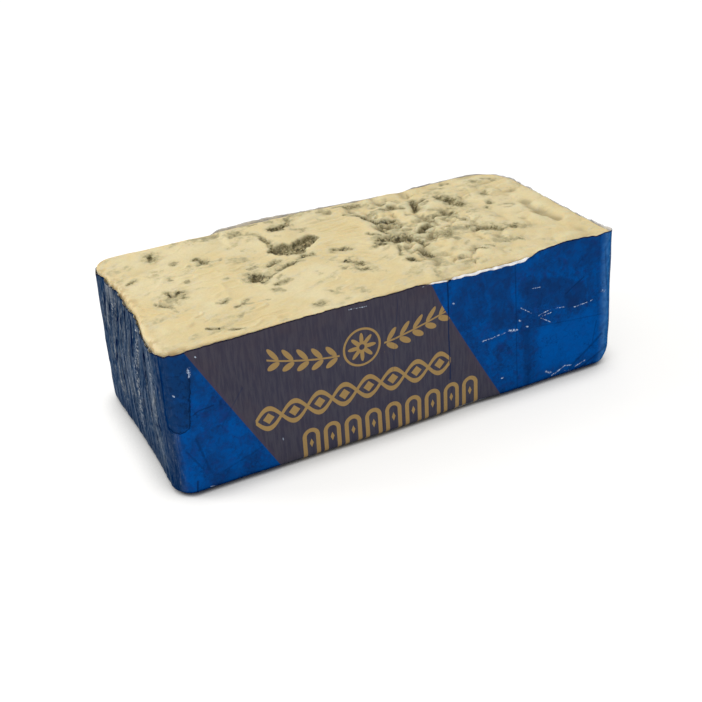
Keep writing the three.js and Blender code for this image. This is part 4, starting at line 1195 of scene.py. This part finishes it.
class Graph:
    """A node material with one Principled shader."""

    def __init__(self, name):
        self.material = bpy.data.materials.new(name)
        self.material.use_nodes = True
        self.tree = self.material.node_tree
        self.shader = self.tree.nodes["Principled BSDF"]

    def feed(self, socket, value):
        """Links a term to a socket, or sets the socket to a constant."""
        if isinstance(value, Term):
            self.tree.links.new(value.source, socket)
        elif isinstance(value, tuple) and len(value) == 3 and socket.type == "RGBA":
            socket.default_value = (*value, 1.0)
        else:
            socket.default_value = value

    def feed_all(self, node, **values):
        """Feeds a node's inputs, with underscores for the spaces in their names."""
        for name, value in values.items():
            self.feed(node.inputs[name.replace("_", " ")], value)

    def set(self, **values):
        self.feed_all(self.shader, **values)

    def node(self, kind, **values):
        node = self.tree.nodes.new("ShaderNode" + kind)
        self.feed_all(node, **values)
        return node

    def attribute(self, name):
        """A number that the mesh carries on its vertices."""
        node = self.node("Attribute")
        node.attribute_name = name
        return Term(self, node.outputs["Fac"])

    def place(self, stretch=(1, 1, 1)):
        """The point in metres in the object's own frame, scaled along each axis."""
        coordinates = self.node("TexCoord")
        mapping = self.node("Mapping", Scale=stretch, Vector=Term(self, coordinates.outputs["Object"]))
        return Term(self, mapping.outputs["Vector"])

    def noise(self, size_mm, detail=3.0, roughness=0.55, stretch=(1, 1, 1)):
        """Noise from 0 to 1 with features of about the given size."""
        node = self.node("TexNoise", Scale=1 / (size_mm * MM), Detail=detail, Roughness=roughness)
        self.feed_all(node, Vector=self.place(stretch))
        return Term(self, node.outputs["Fac"])

    def vector_maths(self, operation, first, second=None):
        node = self.node("VectorMath")
        node.operation = operation
        self.feed(node.inputs[0], first)
        if second is not None:
            self.feed(node.inputs[1], second)
        return Term(self, node.outputs["Value" if operation in ("LENGTH", "DOT_PRODUCT") else "Vector"])

    def vector(self, x, y):
        return Term(self, self.node("CombineXYZ", X=x, Y=y).outputs["Vector"])

    def segment(self, place, ax, ay, bx, by):
        """Distance of a place from a straight stretch."""
        half = math.hypot(bx - ax, by - ay) / 2
        ahead = ((bx - ax) / (2 * half), (by - ay) / (2 * half), 0)
        local = self.vector_maths("SUBTRACT", place, ((ax + bx) / 2, (ay + by) / 2, 0))
        past_end = (abs(self.vector_maths("DOT_PRODUCT", local, ahead)) - half).highest(0)
        aside = self.vector_maths("DOT_PRODUCT", local, (-ahead[1], ahead[0], 0))
        return self.vector_maths("LENGTH", self.vector(past_end, aside))

    def panels(self, place, size):
        """A random value from 0 to 1 for each of a set of straight-sided panels."""
        node = self.node("TexVoronoi", Scale=1 / size, Vector=place)
        parts = self.node("SeparateColor", Color=Term(self, node.outputs["Color"]))
        return Term(self, parts.outputs["Red"])

    def blend(self, share, first, second):
        """A colour between two colours."""
        node = self.node("Mix")
        node.data_type = "RGBA"
        self.feed(node.inputs["Factor"], share)
        self.feed(node.inputs[6], first)
        self.feed(node.inputs[7], second)
        return Term(self, node.outputs[2])

    def tones(self, share, stops):
        """A colour from a row of places from 0 to 1, each with its colour."""
        node = self.node("ValToRGB")
        elements = node.color_ramp.elements
        while len(elements) < len(stops):
            elements.new(0.5)
        for element, (place, colour) in zip(elements, stops):
            element.position = place
            element.color = (*colour, 1.0)
        self.feed(node.inputs["Fac"], share)
        return Term(self, node.outputs["Color"])

    def bump(self, height, strength, distance_mm):
        """Lets the shader's normal follow a height."""
        node = self.node("Bump", Strength=strength, Distance=distance_mm * MM, Height=height)
        self.set(Normal=Term(self, node.outputs["Normal"]))


def srgb(red, green, blue):
    """A screen colour from 0 to 255 as the linear colour that shaders take."""
    def linear(v):
        v = v / 255
        return v / 12.92 if v <= 0.04045 else ((v + 0.055) / 1.055) ** 2.4
    return (linear(red), linear(green), linear(blue))


CREAM = srgb(214, 196, 148)
PALE_CREAM = srgb(218, 204, 162)
# A pale tone for random patches and for painted highlights on crests
PALE_GREEN_AND_HIGHLIGHT = srgb(213, 206, 168)
YELLOW_CREAM = srgb(216, 191, 137)
BUTTER_SIDE = srgb(182, 158, 112)
# A dark tone for painted shade in hollows, also used for random fine specks
HOLLOW_SHADE_AND_SPECK = srgb(112, 100, 68)
MOULD_TONES = [
    (0.0, srgb(214, 196, 148)),
    (0.2, srgb(197, 184, 142)),
    (0.4, srgb(166, 156, 120)),
    (0.6, srgb(121, 113, 73)),
    (0.8, srgb(85, 79, 45)),
    (1.0, srgb(46, 42, 13)),
]
GREY_CREAM = srgb(205, 196, 168)
GAP_SIDE = srgb(196, 190, 170)

# The foil's own blue, then blues for its painted reflections, sheen and shade
FOIL_BLUE = srgb(4, 73, 144)
DEEP_REFLECTION_BLUE = srgb(18, 46, 92)
SHEEN_BLUE = srgb(70, 120, 175)
FOIL_PALE = srgb(20, 84, 152)
BRIGHT_REFLECTION_BLUE = srgb(2, 80, 158)
FOIL_VIOLET = srgb(26, 48, 104)
WRINKLE_SHADE = srgb(8, 36, 80)
DARK_FIELD = srgb(68, 66, 77)
FIELD_SHADE = srgb(57, 55, 70)
BRONZE = srgb(76, 62, 66)
FIELD_EDGE = srgb(70, 60, 78)
GOLD = srgb(158, 130, 82)
GLINT_SILVER = srgb(196, 212, 232)
# Tones of the painted reflections on the gathered ends, from shade to light
FOLD_TONES = [
    (0.0, srgb(14, 24, 42)),
    (0.25, srgb(44, 55, 74)),
    (0.5, srgb(76, 84, 95)),
    (0.75, srgb(104, 110, 118)),
    (1.0, srgb(158, 160, 160)),
]
# Painted shade in gaps and creases, a painted shadow along the rim, the near corner's blue, painted shade
# on the flap
GAP_SHADE = srgb(10, 18, 38)
CREASE_SHADE = srgb(10, 32, 70)
RIM_SHADOW_DARK = srgb(24, 18, 30)
CORNER_BLUE = srgb(18, 48, 88)
FLAP_SHADE = srgb(18, 50, 92)
FLAP_SHADOW_LINE = srgb(10, 26, 56)
LINING_WHITE = srgb(236, 234, 232)
LINING_GREY = srgb(200, 202, 208)

# Tones of the room and the floor, already linear
WARM_WHITE = (1.0, 0.99, 0.97)
FLOOR_GREY = (0.37, 0.37, 0.37)
FLOOR_PALE = (0.39, 0.39, 0.39)

LOW_SPECULAR = 0.3
FOIL_TINT = (0.35, 0.42, 0.55, 1.0)
FAT_RADII = (1.0, 0.6, 0.3)  # how far light spreads in the cheese, by colour, as shares of the scale
FAT_SCALE = 2 * MM

# In the materials below, noise takes its size in millimetres, its detail and its roughness, and ramp takes
# where it is 0 and where it is 1. The renderer works nodes out in the order that they are made in and keeps
# few values at a time, so terms that are needed once are made just before they are used.


def cheese_material():
    """Creamy tones, the mould's speckled ones over them, painted shade in hollows and painted highlights on
    crests.
    """
    g = Graph("cheese")
    mould = g.attribute("mould")
    base = g.blend(g.noise(24, 2).ramp(0.38, 0.66), CREAM, PALE_CREAM)
    base = g.blend(g.noise(10, 4).ramp(0.45, 0.75) * 0.35, base, YELLOW_CREAM)
    base = g.blend(g.noise(6, 4, 0.6).ramp(0.5, 0.72) * 0.35, base, PALE_GREEN_AND_HIGHLIGHT)
    buttery = g.attribute("rim") * (g.noise(4, 3, 0.6).ramp(0.42, 0.6) * 0.7 + 0.15)
    base = g.blend(buttery, base, BUTTER_SIDE)
    base = g.blend(g.attribute("side"), base, GAP_SIDE)
    patches = g.noise(4.5, 3, 0.6).ramp(0.45, 0.62) * mould.ramp(0.02, 0.12) * mould.ramp(0.45, 0.2)
    base = g.blend(patches * 0.7, base, GREY_CREAM)
    specks = g.noise(1.0, 4, 0.7).ramp(0.34, 0.66) - 0.5
    soft_specks = g.noise(2.2, 3, 0.6).ramp(0.34, 0.66) - 0.5
    speckled = mould + specks * (mould.ramp(0.28, 0.62) * 0.36 + 0.05)
    speckled = speckled + soft_specks * mould.ramp(0.02, 0.2) * 0.16
    grains = g.panels(g.place(), 1.6 * MM).ramp(0.25, 0.75) - 0.6
    speckled = speckled + grains * mould.ramp(0.5, 0.8) * 0.7
    colour = g.blend(speckled.ramp(0.03, 0.26), base, g.tones(speckled, MOULD_TONES))
    # Painted shade in small and broad hollows; the third blend adds fine dark specks at random
    colour = g.blend(g.attribute("hollow_shade") * 0.45, colour, HOLLOW_SHADE_AND_SPECK)
    colour = g.blend(g.attribute("dip_shade") * 0.22, colour, HOLLOW_SHADE_AND_SPECK)
    colour = g.blend(g.noise(0.9, 3, 0.7).ramp(0.35, 0.65) * 0.07, colour, HOLLOW_SHADE_AND_SPECK)
    # A painted highlight: raised crests are paler, more so where the cheese broke
    colour = g.blend(g.attribute("crest") * (g.attribute("broken") * 0.3 + 0.25), colour, PALE_GREEN_AND_HIGHLIGHT)
    g.set(Base_Color=colour, Roughness=g.noise(3, 3) * 0.2 + 0.45, Subsurface_Weight=0.25)
    g.set(Subsurface_Radius=FAT_RADII, Subsurface_Scale=FAT_SCALE, Specular_IOR_Level=LOW_SPECULAR)
    g.bump(g.noise(0.7, 4, 0.6) + g.noise(2.4, 3, 0.6) * 0.8, 0.45, 0.3)
    return g.material


def motif_sprig(u, v):
    """Two curved branches of leaves with a rosette between them. Negative inside the shapes."""
    middle, height = -22, 47
    leaf_long, leaf_wide, leaf_off, stem_half = 3.3, 1.25, 2.7, 0.42
    branch_middle, branch_half = 26.5, 16
    petals, petal_depth, rosette_radius, eye, ring_radius = 8, 2.0, 4.6, 1.3, 8.4
    du, dv = u - middle, v - height
    m = abs(du)
    w = dv - (m * m) * (7.5 / 42**2) + 1.5
    cell = (m - 11).repeat(6.4)

    def leaf(above, turn):
        ly = w - leaf_off * above
        c, s = math.cos(math.radians(turn)), math.sin(math.radians(turn))
        along = cell * c + ly * s
        across = ly * c - cell * s
        return (along * along) * (1 / leaf_long**2) + (across * across) * (1 / leaf_wide**2) - 1

    leaves = combined((leaf(*kind) for kind in ((1, 48), (-1, -38))), "MINIMUM")
    branch = leaves.lowest(abs(w) - stem_half).highest(abs(m - branch_middle) - branch_half)
    r = (du * du + dv * dv).maths("SQRT")
    outline_radius = (dv.maths("ARCTAN2", du) * petals).maths("COSINE") * petal_depth + rosette_radius
    rosette = (r - outline_radius).highest(eye - r)
    ring = abs(r - ring_radius) - 0.5
    return branch.lowest(rosette).lowest(ring)


def motif_braid(u, v):
    """Two waves that cross, with a dot in each eye."""
    start, end, height, slope, period = -72, 21, 27, 0.02, 23.25
    swing, strand_half, dot_half = 4.7, 1.15, 2.6
    w = v - height - (u + 25) * slope
    wave = ((u - start) * (2 * math.pi / period)).maths("SINE") * swing
    strands = (abs(w - wave)).lowest(abs(w + wave)) - strand_half
    cell = (u - start).repeat(period / 2)
    dot = abs(cell) + abs(w) - dot_half
    return strands.lowest(dot).highest(abs(u - (start + end) / 2) - (end - start) / 2)


def motif_arcade(u, v):
    """A row of tall arches, with a lozenge in each."""
    start, count, period, foot, springing = -53, 9, 9.9, 9, 11.6
    arch_radius, arch_half, lozenge_height = 3.1, 0.95, 8.2
    w = v - (u + 8) * 0.008
    cell = (u - start).repeat(period)
    above = (w - springing).highest(0)
    arch = abs((cell * cell + above * above).maths("SQRT") - arch_radius) - arch_half
    lozenge = abs(cell) * 1.6 + abs(w - lozenge_height) * 0.7 - 1.5
    half = count * period / 2
    return arch.lowest(lozenge).highest(abs(u - (start + half)) - half).highest(w * -1 - foot)


def foil_blue(g, u, up):
    """Painted reflections and shade on the foil's uneven blue: darker and brighter panes, a corner sheen,
    dark wrinkles. Returns it and its blotches.
    """
    wavy_u = u + (g.noise(3, 3, 0.6) - 0.5) * 4 + (g.noise(14, 2) - 0.5) * 10
    wavy_up = up + (g.noise(3.4, 3, 0.6) - 0.5) * 4 + (g.noise(17, 2) - 0.5) * 10
    # Painted reflections: the blue is mottled darker, violet and paler at random
    shade = g.panels(g.vector(wavy_u, wavy_up), 8).ramp(0.3, 1) * 0.25
    blotches = g.noise(5.5, 4, 0.7, stretch=(1, 1, 0.7)).ramp(0.44, 0.6)
    shade = shade + g.noise(9, 5, 0.7).ramp(0.42, 0.66) * 0.3 + blotches * 0.25
    shade = shade + g.noise(1.6, 4, 0.7).ramp(0.42, 0.68) * 0.32
    blue = g.blend(shade, FOIL_BLUE, DEEP_REFLECTION_BLUE)
    blue = g.blend(g.noise(4, 4, 0.65).ramp(0.5, 0.68) * 0.5, blue, FOIL_VIOLET)
    blue = g.blend(g.noise(3.1, 4, 0.7, stretch=(1, 1, 0.6)).ramp(0.56, 0.76) * 0.3, blue, FOIL_PALE)
    # Painted reflections: darker panes between creases, and a brighter one low on the right
    for *corners, dark_share in DARK_REFLECTION_PANES:
        within = inside_corners(wavy_u, wavy_up, corners).ramp(-1.2, 1.2) * (blotches * 0.3 + 0.7)
        blue = g.blend(within * dark_share, blue, DEEP_REFLECTION_BLUE)
    blue = g.blend(inside_corners(wavy_u, wavy_up, BRIGHT_REFLECTION_PANE).ramp(-2, 4) * 0.6, blue, BRIGHT_REFLECTION_BLUE)
    # A painted sheen of light along the right corners
    right_corner_sheen = u.ramp(98.5, 103.5) * u.ramp(116, 108)
    blue = g.blend(right_corner_sheen * (g.noise(2.5, 3).ramp(0.35, 0.6) * 0.3 + 0.35), blue, SHEEN_BLUE)
    # Painted shade along thin wrinkles
    wrinkles = abs(g.noise(8, 3, 0.6) - 0.5).ramp(0.014, 0) * g.noise(9, 2).ramp(0.4, 0.55) * 0.5
    fine_wrinkles = abs(g.noise(3.2, 3, 0.65) - 0.5).ramp(0.02, 0) * g.noise(6, 2).ramp(0.42, 0.58) * 0.4
    return g.blend(wrinkles.highest(fine_wrinkles), blue, WRINKLE_SHADE), blotches


def with_print(g, u, v, printed, blue):
    """The dark field and the gold on it. Returns the colour, the field and its fine hatching."""
    # The field is a parallelogram with a bronze line along its slanted edges
    inside = (u + v * 0.537 + 62).lowest((u + v * 0.559 - 48) * -1)
    field = inside.ramp(-0.15, 0.15) * printed
    line = (abs(inside - 0.7) - 0.7).ramp(0.3, -0.4) * printed
    gold = motif_sprig(u, v).lowest(motif_braid(u, v)).lowest(motif_arcade(u, v))
    gold = gold.ramp(0.12, -0.12) * field
    hatch = g.noise(1.1, 3, 0.6, stretch=(1, 1, 0.12))
    dark = g.blend(hatch.ramp(0.35, 0.65), FIELD_SHADE, DARK_FIELD)
    dark = g.blend(g.noise(11, 3).ramp(0.45, 0.75) * 0.2 + v.ramp(48, 68) * 0.12, dark, BRONZE)
    colour = g.blend(field, blue, dark)
    colour = g.blend(line * 0.5, colour, FIELD_EDGE)
    worn = g.noise(0.8, 4, 0.7).ramp(0.3, 0.42)
    return g.blend(gold * (worn * 0.3 + 0.65), colour, GOLD), field, hatch


def gathered_end(g, along, v):
    """The gathered ends look dull and streaked, because their many small folds blur what they mirror."""
    streaks = g.noise(1.3, 5, 0.7, stretch=(1, 1, 0.11))
    crumpled = g.noise(1.5, 4, 0.7, stretch=(1, 1, 0.8)).ramp(0.36, 0.64)
    end_y = along * -1 - END_START
    end_place = g.vector(end_y + (g.noise(5, 3) - 0.5) * 2, v)

    def bands(table, core):
        return (g.segment(end_place, *ends).ramp(half, core * half) for *ends, half in table)

    ladders = combined(bands(LADDERS, 0.4), "MAXIMUM")
    # Painted sparkles of light on the crumpled bands
    sparkles = g.noise(1, 3, 0.7, stretch=(1, 0.7, 1.4)).ramp(0.5, 0.6)
    # Painted light and shade: lighter on the pleats' tops, by their height, and streaked
    tone = g.attribute("fold") * 0.35 + streaks * 1.7 - 0.56 + (crumpled - 0.5) * 0.22
    tone = tone - abs(g.noise(2.6, 3, 0.6, stretch=(1, 1, 0.09)) - 0.5).ramp(0.03, 0) * 0.45
    tone = tone + abs(g.noise(2.1, 3, 0.6, stretch=(1, 1, 0.12)) - 0.47).ramp(0.016, 0) * 0.4
    tone = tone + ladders * (crumpled * 0.25 + sparkles * 0.75 - 0.2)
    folded = g.tones(tone, FOLD_TONES)
    # Painted shade in the gaps between pleats
    folded = g.blend(combined(bands(SHADED_GAPS, 0.2), "MAXIMUM") * 0.9, folded, GAP_SHADE)
    near_corner = end_y.ramp(-36, -46) * end_y.ramp(-90, -80)
    return g.blend(near_corner * 0.65, folded, CORNER_BLUE)


def with_flap(g, u, v, printed, field, blotches, colour):
    """Painted shade: the flap is darker towards its round end, with a dark shadow line along its edge."""
    beside = u - FLAP["edge"] - (v - FLAP["slant_top"]).lowest(0) * FLAP["slant"]
    past = u - (FLAP["edge"] - FLAP["middle"])
    below = past * past * FLAP["curve"] - v + FLAP["bottom"]
    flap = beside.highest(below) + (g.noise(5, 4, 0.7) - 0.5) * 4.5
    on_front = u.ramp(-109, -108) * printed
    # Painted shade above the flap and on it
    shaded_top = v.ramp(40, 54) * u.ramp(-82, -94) * on_front * (1 - field)
    colour = g.blend(shaded_top * (blotches * 0.3 + 0.35), colour, FLAP_SHADE)
    on_flap = flap.ramp(0.3, -0.5) * v.ramp(72, 58) * on_front
    colour = g.blend(on_flap * (g.noise(2.4, 4, 0.7).ramp(0.4, 0.62) * 0.45 + 0.5), colour, FLAP_SHADE)
    colour = g.blend(on_flap * g.noise(2, 4, 0.7).ramp(0.5, 0.62) * 0.4, colour, FLAP_SHADOW_LINE)
    # A painted shadow line along the flap's edge
    line = (abs(flap + 0.2) - 0.25).ramp(0.35, -0.1) * v.ramp(64, 52) * on_front
    return g.blend(line * 0.75, colour, FLAP_SHADOW_LINE)


def with_creases(g, u, up, colour):
    """Painted shade along the creases, and painted glints of light along cracks in the print."""
    place = g.vector(u, up)
    # Painted shade along the creases
    dark_lines = (g.segment(place, *ends).ramp(half, 0) * share for *ends, half, share, _ in CREASES)
    colour = g.blend(combined(dark_lines, "MAXIMUM"), colour, CREASE_SHADE)
    # Painted glints of light along cracks and creases, broken up at random
    crumbled = g.noise(0.9, 4, 0.75).ramp(0.36, 0.64) - 0.5

    def crack(*ends, half, share):
        return g.segment(place, *ends) * (1 / half) + crumbled * (3.4 - 2.2 * share) + (0.9 - share)

    glints = combined((crack(*ends, half=half, share=share) for *ends, half, share in GLINTS), "MINIMUM")
    bright = glints.ramp(1.1, -0.4) * (g.noise(1.7, 3).ramp(0.35, 0.65) * 0.6 + 0.4)
    return g.blend(bright, colour, GLINT_SILVER)


def foil_material():
    """Lacquered foil with its print and painted reflections: dulled at the gathered ends, with painted
    shade and glints at the cracked creases.
    """
    g = Graph("printed_foil")
    round_all = g.attribute("print_along")
    u = g.attribute("crease_along")
    v = g.attribute("print_up")
    up = g.attribute("crease_up")
    printed = g.attribute("printed").ramp(0.4, 0.6)
    blue, blotches = foil_blue(g, u, up)
    colour, field, hatch = with_print(g, u, v, printed, blue)
    folded = gathered_end(g, round_all, v)
    colour = g.blend(g.attribute("pleated"), colour, folded)
    colour = with_flap(g, u, v, printed, field, blotches, colour)
    colour = with_creases(g, u, up, colour)
    # A painted shadow: a dark line runs along the cut edge of the foil, where it stands off the cheese
    rim_shadow = (g.attribute("below_rim") + (g.noise(2, 3) - 0.5) * 0.5).ramp(0.75, 0.3)
    colour = g.blend(rim_shadow * 0.8, colour, RIM_SHADOW_DARK)
    metal = 1 - field * 0.35
    g.set(Base_Color=colour, Metallic=metal, Roughness=g.noise(6, 3) * 0.14 + field * 0.1 + 0.26)
    g.set(Specular_IOR_Level=LOW_SPECULAR, Specular_Tint=FOIL_TINT)
    g.bump(g.noise(2.2, 5, 0.6) + hatch * 0.5, 0.22, 0.15)
    return g.material


def lining_material():
    """The pale inside of the foil."""
    g = Graph("foil_lining")
    colour = g.blend(g.noise(4, 3).ramp(0.4, 0.7), LINING_WHITE, LINING_GREY)
    g.set(Base_Color=colour, Metallic=0.1, Roughness=g.noise(3, 3) * 0.2 + 0.35)
    g.bump(g.noise(1.5, 3), 0.3, 0.1)
    return g.material


# Camera, light and floor

# In metres, degrees and millimetres
CAMERA_PLACE = (-0.19512, -0.41285, 0.27393)
CAMERA_TURN = (60.3013, 2.7900, -26.4823)
CAMERA_LENS = 56.57

# The area lights, which face the cheese: name, place, size, watts
AIMED_AT = (0, 0, 0.03)
LIGHTS = [
    ("overhead", (-0.15, -0.05, 1.5), (1.9, 1.9), 13.6),
    ("key", (-0.88, 0.5, 0.72), (0.4, 0.4), 6.2),
]
SKY_STRENGTH = 0.5

# The floor glows a little, but not in the shade close round the wrapper. Its size, its height and its grain
# are in millimetres, and how far the shade reaches is in metres.
FLOOR = {"half": 3.0 / MM, "z": -0.4, "grain": 30, "glow": 0.7, "shade_reach": 18 * MM, "shade_samples": 12}


def add_camera():
    data = bpy.data.cameras.new("camera")
    data.sensor_width = 36
    data.lens = CAMERA_LENS
    data.dof.use_dof = False
    camera = bpy.data.objects.new("camera", data)
    camera.location = CAMERA_PLACE
    camera.rotation_euler = tuple(math.radians(v) for v in CAMERA_TURN)
    bpy.context.scene.collection.objects.link(camera)
    bpy.context.scene.camera = camera


def add_light(name, place, size, watts):
    data = bpy.data.lights.new(name, "AREA")
    data.shape = "RECTANGLE"
    data.size, data.size_y = size
    data.energy = watts
    light = bpy.data.objects.new(name, data)
    light.location = place
    x, y, z = np.array(AIMED_AT) - np.array(place)
    light.rotation_euler = (math.atan2(math.hypot(x, y), -z), 0, math.atan2(y, x) - math.pi / 2)
    bpy.context.scene.collection.objects.link(light)


def add_stage():
    world = bpy.data.worlds.new("studio")
    world.use_nodes = True
    background = world.node_tree.nodes["Background"]
    background.inputs["Color"].default_value = (*WARM_WHITE, 1.0)
    background.inputs["Strength"].default_value = SKY_STRENGTH
    bpy.context.scene.world = world
    for light in LIGHTS:
        add_light(*light)
    g = Graph("floor")
    colour = g.blend(g.noise(FLOOR["grain"], 2), FLOOR_GREY, FLOOR_PALE)
    g.set(Base_Color=colour, Roughness=0.7, Specular_IOR_Level=0.1, Emission_Color=WARM_WHITE)
    shaded = g.node("AmbientOcclusion", Distance=FLOOR["shade_reach"])
    shaded.samples = FLOOR["shade_samples"]
    g.set(Emission_Strength=Term(g, shaded.outputs["AO"]).ramp(0.18, 0.9) * FLOOR["glow"])
    half, z = FLOOR["half"], FLOOR["z"]
    corners = np.array([(-half, -half, z), (half, -half, z), (half, half, z), (-half, half, z)])
    floor = add_mesh("floor", corners, [[0, 1, 2, 3]], [g.material])
    bpy.context.scene.view_settings.view_transform = "Standard"


add_camera()
add_stage()

cheese = make_cheese(cheese_material())
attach(cheese, "root")
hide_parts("cheese")

foil = make_foil(foil_material(), lining_material())
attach(foil, "root")
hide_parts("foil_wrap")
